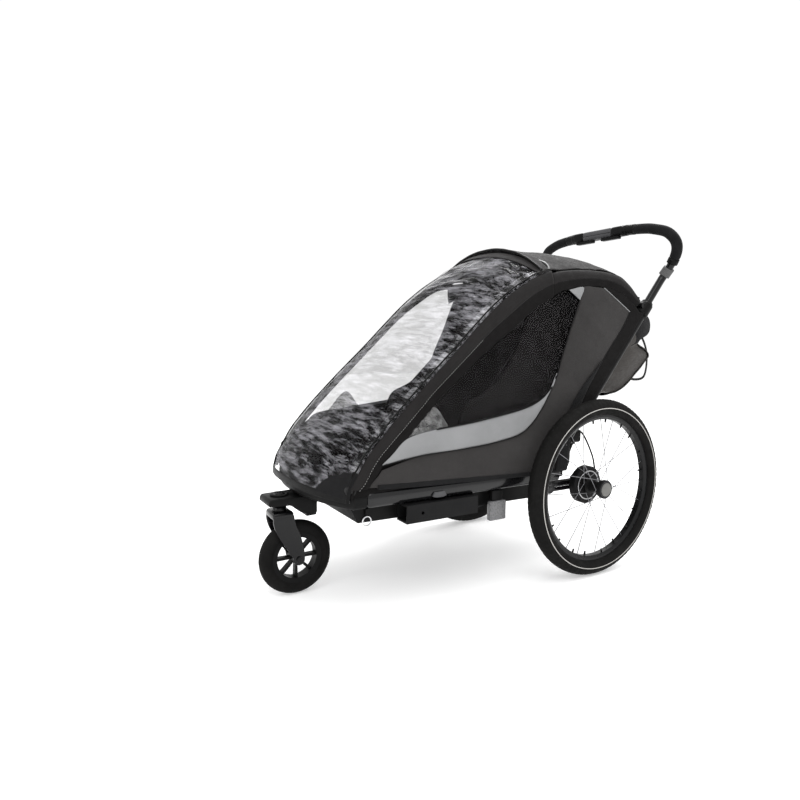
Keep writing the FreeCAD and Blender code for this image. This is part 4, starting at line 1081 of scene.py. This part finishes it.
def caster_parts():
    """A slim curved fork, its crown, and the rounded arm that carries it."""
    y0, z0 = -787, 96
    hub = [(y0 + 15 * math.cos(a), z0 + 15 * math.sin(a))
           for a in (math.radians(d) for d in range(-175, 5, 20))]
    back = [(-772, 104), (-776, 130), (-785, 162), (-797, 190), (-801, 214)]
    front = [(-853, 214), (-854, 198), (-847, 174), (-832, 146), (-815, 122), (-803, 102)]
    outline = hub + [tuple(p)[:2] for p in resample([(y, z, 0) for y, z in back], 18)] \
        + [tuple(p)[:2] for p in resample([(y, z, 0) for y, z in front], 22)]
    for side, sign in SIDES:
        low, high = sorted((sign * 24.8, sign * 32.0))
        blade = plate(f"{side}_fork_blade", outline, low, high, 2.2, GLOSS_TUBE, "caster",
                      "black_frame")
        if sign > 0:
            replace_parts(blade, "caster_fork")
    rounded_box("fork_crown", (-33, -855, 203), (33, -801, 224), 8, GLOSS_TUBE, "caster",
                "black_frame", 4)
    lathe("fork_neck", [(z * MM, r * MM) for z, r in ((221, 6), (221, 19), (226, 18), (240, 16.5),
                                                     (240.5, 6))],
          at(0, -829, 0), GLOSS_TUBE, "caster", "black_frame", 40, axis="Z")
    arm = plate("caster_arm_casting", [(-868, 243), (-869, 252), (-864, 261), (-760, 264),
                                       (-742, 264), (-742, 214), (-752, 212), (-784, 219),
                                       (-812, 241)], -40, 40, 7, PLASTIC, "chassis",
                "black_plastic", 4)
    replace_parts(arm, "caster_arm")
    lathe("caster_arm_cap", [(z * MM, r * MM) for z, r in ((262, 24), (266, 23), (267, 20),
                                                          (265.4, 15), (262, 14.5))],
          at(0, -829, 0), PLASTIC, "chassis", "black_plastic", 48, axis="Z")


caster_parts()

# ---------------------------------------------------------------- handle

HANDLE_HALF = [(222, 326, 858), (231, 329, 872), (244, 330, 890), (258, 328, 912), (268, 324, 932),
               (272, 318, 951), (268, 312, 968), (256, 306, 984), (240, 302, 995), (212, 298, 1004),
               (180, 296, 1011), (120, 294, 1016), (60, 293, 1018)]


def handle():
    half = resample(HANDLE_HALF, 90)
    for side, sign in SIDES:
        path = [at(sign * p.x, p.y, p.z) for p in half]
        foam_path = path[17:70]
        count = len(foam_path)
        verts = []
        profile_count = 20
        for i, spot in enumerate(foam_path):
            ahead = foam_path[min(i + 1, count - 1)] - foam_path[max(i - 1, 0)]
            along = ahead.normalized()
            across = along.cross(Vector((0, 1, 0))).normalized()
            out = across.cross(along).normalized()
            edge = min(i, count - 1 - i)
            radius = 0.0158 - 0.0016 * max(0, 1 - edge / 2.5) ** 2
            for q in range(profile_count):
                turn = 2 * math.pi * q / profile_count
                verts.append(spot + across * radius * math.cos(turn)
                             + out * radius * math.sin(turn))
        faces = grid_faces(count, profile_count, close_columns=True)
        faces += end_caps(count, profile_count)
        grip = piece(f"{side}_grip_foam", verts, faces, FOAM, "handle", "foam_grip")
        fix_normals(grip)
        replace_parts(grip, "handle_grip")
        for tag, first, last in (("lower", 13, 18), ("inner", 69, 82)):
            sweep(f"{side}_grip_{tag}_ferrule", path[first:last],
                  ring_profile(0.0165, 24), PLASTIC, "handle", "black_plastic",
                  up=Vector((0, 1, 0)))
        sweep(f"{side}_grip_collar", path[2:10], ring_profile(0.0168, 24), COLLAR_GREY,
              "handle", "grey_plastic", up=Vector((0, 1, 0)))
    unit = rounded_box("unit_body", (-60, 273, 1001), (60, 313, 1031), 9, GREY_PLASTIC,
                       "handle", "grey_plastic", 5)
    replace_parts(unit, "handle_unit")
    rounded_box("unit_seam", (-57, 272.4, 1014.4), (57, 313.6, 1015.8), 0.5, PLASTIC, "handle",
                "black_plastic", 1)
    for side, sign in SIDES:
        rounded_box(f"{side}_unit_shell", (min(sign * 56, sign * 103), 274, 1000.5),
                    (max(sign * 56, sign * 103), 312, 1031.5), 9, PLASTIC, "handle",
                    "black_plastic", 5)
        sweep(f"{side}_unit_end", [at(sign * x, 293, 1016) for x in (96, 101, 106, 112)],
              ring_profile(0.0172, 24), PLASTIC, "handle", "black_plastic",
              up=Vector((0, 1, 0)))


handle()

# ---------------------------------------------------------------- seat, harness and side wings

def seat_point(x, t, ahead):
    """A point t up the uprights and so far ahead of their plane, in millimetres."""
    return at(x, FOOT_Y + UP_Y * t - UP_Z * ahead, FOOT_Z + UP_Z * t + UP_Y * ahead)


SEAT_AHEAD = Vector((0, -UP_Z, UP_Y))


def pad_form(name, low, high, place, material, body, cuts=22, pinch=0.03):
    """A crowned block with rounded edges whose sides pull in between its corners."""
    middle = [(a + b) / 2 for a, b in zip(low, high)]
    half = [(b - a) / 2 for a, b in zip(low, high)]
    mesh = bmesh.new()
    bmesh.ops.create_cube(mesh, size=2)
    bmesh.ops.subdivide_edges(mesh, edges=mesh.edges[:], cuts=cuts, use_grid_fill=True)
    for vert in mesh.verts:
        p = vert.co.copy()
        largest = max(abs(c) for c in p)
        round_norm = sum(abs(c) ** 5 for c in p) ** 0.2
        p *= largest / round_norm
        pull = [1 - pinch * (1 - q * q) for q in (p.y, p.x, 0)]
        spot = [middle[k] + half[k] * p[k] * (pull[k] if k < 2 else 1) for k in range(3)]
        vert.co = place(*spot)
    made = piece(name, [], [], material, body, "black_fabric")
    mesh.to_mesh(made.data)
    mesh.free()
    fix_normals(made)
    return made


def puff(thing, pressure, cap, voxel=0.006):
    """Blow the pad up as sewn cloth would be, moving no point further than the cap."""
    remesh = thing.modifiers.new("remesh", "REMESH")
    remesh.mode = "VOXEL"
    remesh.voxel_size = voxel
    bake_modifiers(thing)
    before = [v.co.copy() for v in thing.data.vertices]
    cloth = thing.modifiers.new("cloth", "CLOTH")
    cloth.settings.quality = 4
    cloth.settings.mass = 0.3
    cloth.settings.use_pressure = True
    cloth.settings.uniform_pressure_force = pressure
    cloth.settings.effector_weights.gravity = 0
    scene = bpy.context.scene
    for frame_number in range(1, 21):
        scene.frame_set(frame_number)
    bake_modifiers(thing)
    scene.frame_set(1)
    for vert, start in zip(thing.data.vertices, before):
        moved = vert.co - start
        if moved.length > cap:
            vert.co = start + moved * (cap / moved.length)
    soft = thing.modifiers.new("soft", "SUBSURF")
    soft.levels = soft.render_levels = 1
    bake_modifiers(thing)
    for face in thing.data.polygons:
        face.use_smooth = True


def sew(thing, depth, channel):
    """Press sewn channels in: channel(point) is 1 on a seam and falls to 0 beside it."""
    for vert in thing.data.vertices:
        pressed = channel(vert.co)
        if pressed > 0.01:
            vert.co -= vert.normal * depth * pressed


def notch(distance, width):
    return math.exp(-(distance / width) ** 2)


def seat():
    base = pad_form("seat_pad", (-176, -424, 238), (176, -158, 304), at, BLACK_FABRIC, "chassis")
    puff(base, 4, 0.010)
    sew(base, 0.006, lambda p: max(notch(abs(p.x) - 0.105, 0.006),
                                   notch(p.y - AXLE_Y + 0.300, 0.006)) if p.z > 0.27 else 0)
    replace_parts(base, "seat_cushion")
    back = pad_form("seat_back_pad", (-164, 72, 20), (164, 432, 46), seat_point, BLACK_FABRIC,
                    "back_frame")
    puff(back, 4, 0.008)

    def back_seams(p):
        t = (p.y - AXLE_Y - FOOT_Y * MM) * UP_Y + (p.z - FOOT_Z * MM) * UP_Z
        ahead = -(p.y - AXLE_Y - FOOT_Y * MM) * UP_Z + (p.z - FOOT_Z * MM) * UP_Y
        if ahead < 0.03:
            return 0
        return max(notch(abs(p.x) - 0.100, 0.006), notch(t - 0.190, 0.006),
                   notch(t - 0.310, 0.006))

    sew(back, 0.005, back_seams)
    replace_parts(back, "seat_back")


def wing(side, sign):
    """A padded side wing between the seat and the side window."""
    front = [(-428, 328), (-424, 400), (-402, 486), (-330, 524), (-263, 578), (-240, 625),
             (-210, 686), (-180, 759), (-158, 806)]
    rear = [(-100, 326), (-96, 372), (-60, 430), (0, 500), (50, 560), (100, 622), (140, 680),
            (170, 735), (178, 790)]
    front, rear = resample(front, 60), resample(rear, 60)
    verts, columns = [], 44
    for face_sign in (1, -1):
        for i in range(60):
            for j in range(columns):
                u, v = i / 59, j / (columns - 1)
                spot = front[i].lerp(rear[i], v)
                full = max(0.0, (1 - abs(2 * u - 1) ** 8) * (1 - abs(2 * v - 1) ** 10)) ** 0.5
                fold = 2.0 * fold_noise((spot.x, spot.y, 0), 60, 12 + sign)
                x = 188 + face_sign * 5.5 * full + fold
                verts.append(at(sign * x, spot.x, spot.y))
    side_faces = grid_faces(60, columns)
    offset = 60 * columns
    faces = side_faces + [tuple(offset + k for k in f[::-1]) for f in side_faces]
    made = piece(f"{side}_seat_wing", verts, faces, PANEL_BLACK, "chassis", "black_fabric")
    mesh = bmesh.new()
    mesh.from_mesh(made.data)
    bmesh.ops.remove_doubles(mesh, verts=mesh.verts, dist=0.0001)
    bmesh.ops.recalc_face_normals(mesh, faces=mesh.faces)
    mesh.to_mesh(made.data)
    mesh.free()
    crumples(made)


def strap(name, points, width, thick, up, body="back_frame", material=None, count=60):
    w, h = width / 2 * MM, thick / 2 * MM
    profile = [(-w, -h * 0.5), (-w * 0.96, -h), (w * 0.96, -h), (w, -h * 0.5), (w, h * 0.5),
               (w * 0.96, h), (-w * 0.96, h), (-w, h * 0.5)]
    return sweep(name, resample(points, count), profile, material or WEBBING, body,
                 "black_fabric", up=up)


def harness():
    for side, sign in SIDES:
        shoulder = strap(f"{side}_shoulder_strap",
                         [seat_point(sign * x, t, a) for x, t, a in
                          ((60, 404, 53), (60, 340, 56), (56, 270, 57), (44, 200, 57), (24, 148, 58))],
                         30, 1.8, SEAT_AHEAD)
        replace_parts(shoulder, "harness")
        pad = pad_form(f"{side}_shoulder_pad", (sign * 58 - 24, 240, 57), (sign * 58 + 24, 372, 66),
                       seat_point, BLACK_FABRIC, "back_frame", 10)
        strap(f"{side}_hip_strap",
              [seat_point(sign * x, t, a) for x, t, a in
               ((160, 82, 50), (120, 92, 56), (70, 110, 58), (26, 122, 59))], 26, 1.8, SEAT_AHEAD)
    strap("crotch_strap", [at(0, -262, 312), at(0, -210, 330), seat_point(0, 60, 74),
                           seat_point(0, 108, 62)], 30, 1.8, SEAT_AHEAD)
    buckle = []
    for k in range(24):
        turn = 2 * math.pi * k / 24
        buckle.append((27 * math.cos(turn) * (1 + 0.12 * math.cos(2 * turn)), 25 * math.sin(turn)))
    verts = []
    for lift, scale in ((56, 0.96), (57, 1.0), (64, 1.0), (66.4, 0.9), (67, 0.5)):
        verts += [seat_point(x * scale, 124 + y * scale, lift) for x, y in buckle]
    faces = grid_faces(5, 24, close_columns=True) + end_caps(5, 24)
    fix_normals(piece("buckle_shell", verts, faces, PLASTIC, "back_frame", "black_plastic"))
    verts = []
    for lift, scale in ((66.6, 1.0), (68.4, 0.94), (69, 0.6)):
        verts += [seat_point(x * 0.4 * scale, 124 + y * 0.42 * scale, lift) for x, y in buckle]
    faces = grid_faces(3, 24, close_columns=True) + end_caps(3, 24)
    fix_normals(piece("buckle_button", verts, faces, GREY_PLASTIC, "back_frame", "grey_plastic"))


for side, sign in SIDES:
    sweep(f"{side}_upright_sleeve", [seat_point(sign * 222, t, 0) for t in range(120, 511, 10)],
          ring_profile(0.0165, 24), PLASTIC, "back_frame", "black_plastic")
    sweep(f"{side}_upright_joint",
          [seat_point(sign * 222, t, 0) for t in (500, 504, 512, 530, 538, 541)],
          ring_profile(0.0205, 24), PLASTIC, "back_frame", "black_plastic")

seat()
for side, sign in SIDES:
    wing(side, sign)
harness()

# ---------------------------------------------------------------- back panel and storage bag

BAG_LINE = [(94, 520), (126, 508), (160, 500), (195, 498), (226, 506), (262, 530), (300, 560),
            (332, 588), (352, 610), (352, 622), (338, 634), (314, 644), (304, 652), (312, 666),
            (330, 677), (350, 686), (363, 700), (366, 718), (360, 738), (346, 752), (326, 761),
            (304, 766), (282, 764), (262, 748), (220, 694), (170, 626), (126, 566)]


def back_panel():
    rows, columns = 60, 50
    verts = []
    for i in range(rows):
        t = 32 + 494 * i / (rows - 1)
        for j in range(columns):
            x = -178 + 356 * j / (columns - 1)
            drift = 1.0 * fold_noise((x, t, 0), 60, 3) + 0.5 * fold_noise((x, t, 0), 20, 6)
            verts.append(seat_point(x, t, -13.5 + drift))
    made = piece("back_panel", verts, grid_faces(rows, columns), BLACK_FABRIC, "back_frame",
                 "black_fabric")
    fix_normals(made)
    thicken(made, 0.0016, 0)
    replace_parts(made, "rear_panel")


def storage_bag():
    """An empty soft bag behind the seat: a rounded top and a slack pocket with a flap."""
    closed = BAG_LINE + [BAG_LINE[0]]
    loop = resample([(y, z, 0) for y, z in closed], 121)[:-1]
    centre = Vector((215, 630, 0))
    stations = 61
    verts = []
    for i in range(stations):
        s = 2 * i / (stations - 1) - 1
        shrink = max(0.0, 1 - abs(s) ** 7) ** (1 / 3)
        tuck = 1.0 if shrink > 0 else 0.55
        for spot in loop:
            away = spot - centre
            behind = max(0.0, (away.x * 0.776 - away.y * 0.6307) / 120)
            slack = 5.0 * fold_noise((s * 200, spot.y * 0.9, spot.x), 70, 21) \
                + 3.2 * fold_noise((s * 120, spot.y * 1.3, spot.x), 26, 31)
            bow = -7 * (1 - s * s) * math.sin(min(1, behind) * math.pi / 2)
            scale = (0.86 + 0.14 * shrink) * tuck
            move = (slack * 0.8 + bow * 0.4) * min(1, behind * 1.5)
            out = away.normalized() * move
            y, z = centre.x + away.x * scale + out.x, centre.y + away.y * scale + out.y
            verts.append(at(172 * s + 3 * shrink * s, min(367.5, y), z))
    columns = len(loop)
    faces = grid_faces(stations, columns, close_columns=True)
    faces += end_caps(stations, columns)
    made = piece("bag_shell", verts, faces, BLACK_FABRIC, "back_frame", "charcoal_fabric")
    fix_normals(made)
    made.data.materials.append(BAG_FABRIC)
    for face in made.data.polygons:
        if face.center.z < 0.652 or len(face.vertices) > 6:
            face.material_index = 1
    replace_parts(made, "storage_bag")
    # The pocket's front: a slack charcoal panel over the lower half
    flap = resample([(y, z, 0) for y, z in ((300, 652), (340, 636), (358, 618), (345, 602),
                                             (300, 563), (262, 532), (226, 508), (188, 499))], 60)
    verts = []
    for i, spot in enumerate(flap):
        u = i / 59
        for j in range(80):
            s = 2 * j / 79 - 1
            side_in = 1 - 0.03 * abs(s) ** 8
            slack = 5 * fold_noise((s * 170 + spot.x, spot.y * 0.4, 0), 48, 41) \
                + 3 * fold_noise((s * 150, spot.y - spot.x, 0), 20, 51)
            lift = 9 + (1.5 + slack) * min(1, 4 * u) * (1 - 0.5 * u)
            toward = (spot - centre).normalized()
            inset = 1 - 0.10 * abs(s) ** 6
            y = centre.x + (spot.x - centre.x) * inset + toward.x * lift
            z = centre.y + (spot.y - centre.y) * inset + toward.y * lift
            verts.append(at(176 * s * side_in, min(368, y), z))
    pocket = piece("bag_pocket", verts, grid_faces(60, 80), BAG_FABRIC, "back_frame",
                   "charcoal_fabric")
    fix_normals(pocket)
    cloth(pocket, 60, 80, "hung", ["storage_bag"])
    thicken(pocket, 0.0018, 0)
    strap("bag_flap_binding", [verts[j] for j in range(0, 80)], 9, 2.6, Vector((0, 0.5, 0.86)),
          material=BINDING, count=90)
    strap("bag_strap_loop", [at(128, y, z) for y, z in
                             ((322, 700), (350, 694), (380, 664), (398, 628), (402, 590),
                              (396, 556), (380, 541), (344, 538), (300, 545), (268, 548))],
          8, 1.6, Vector((1, 0, 0)), count=80)


back_panel()
storage_bag()
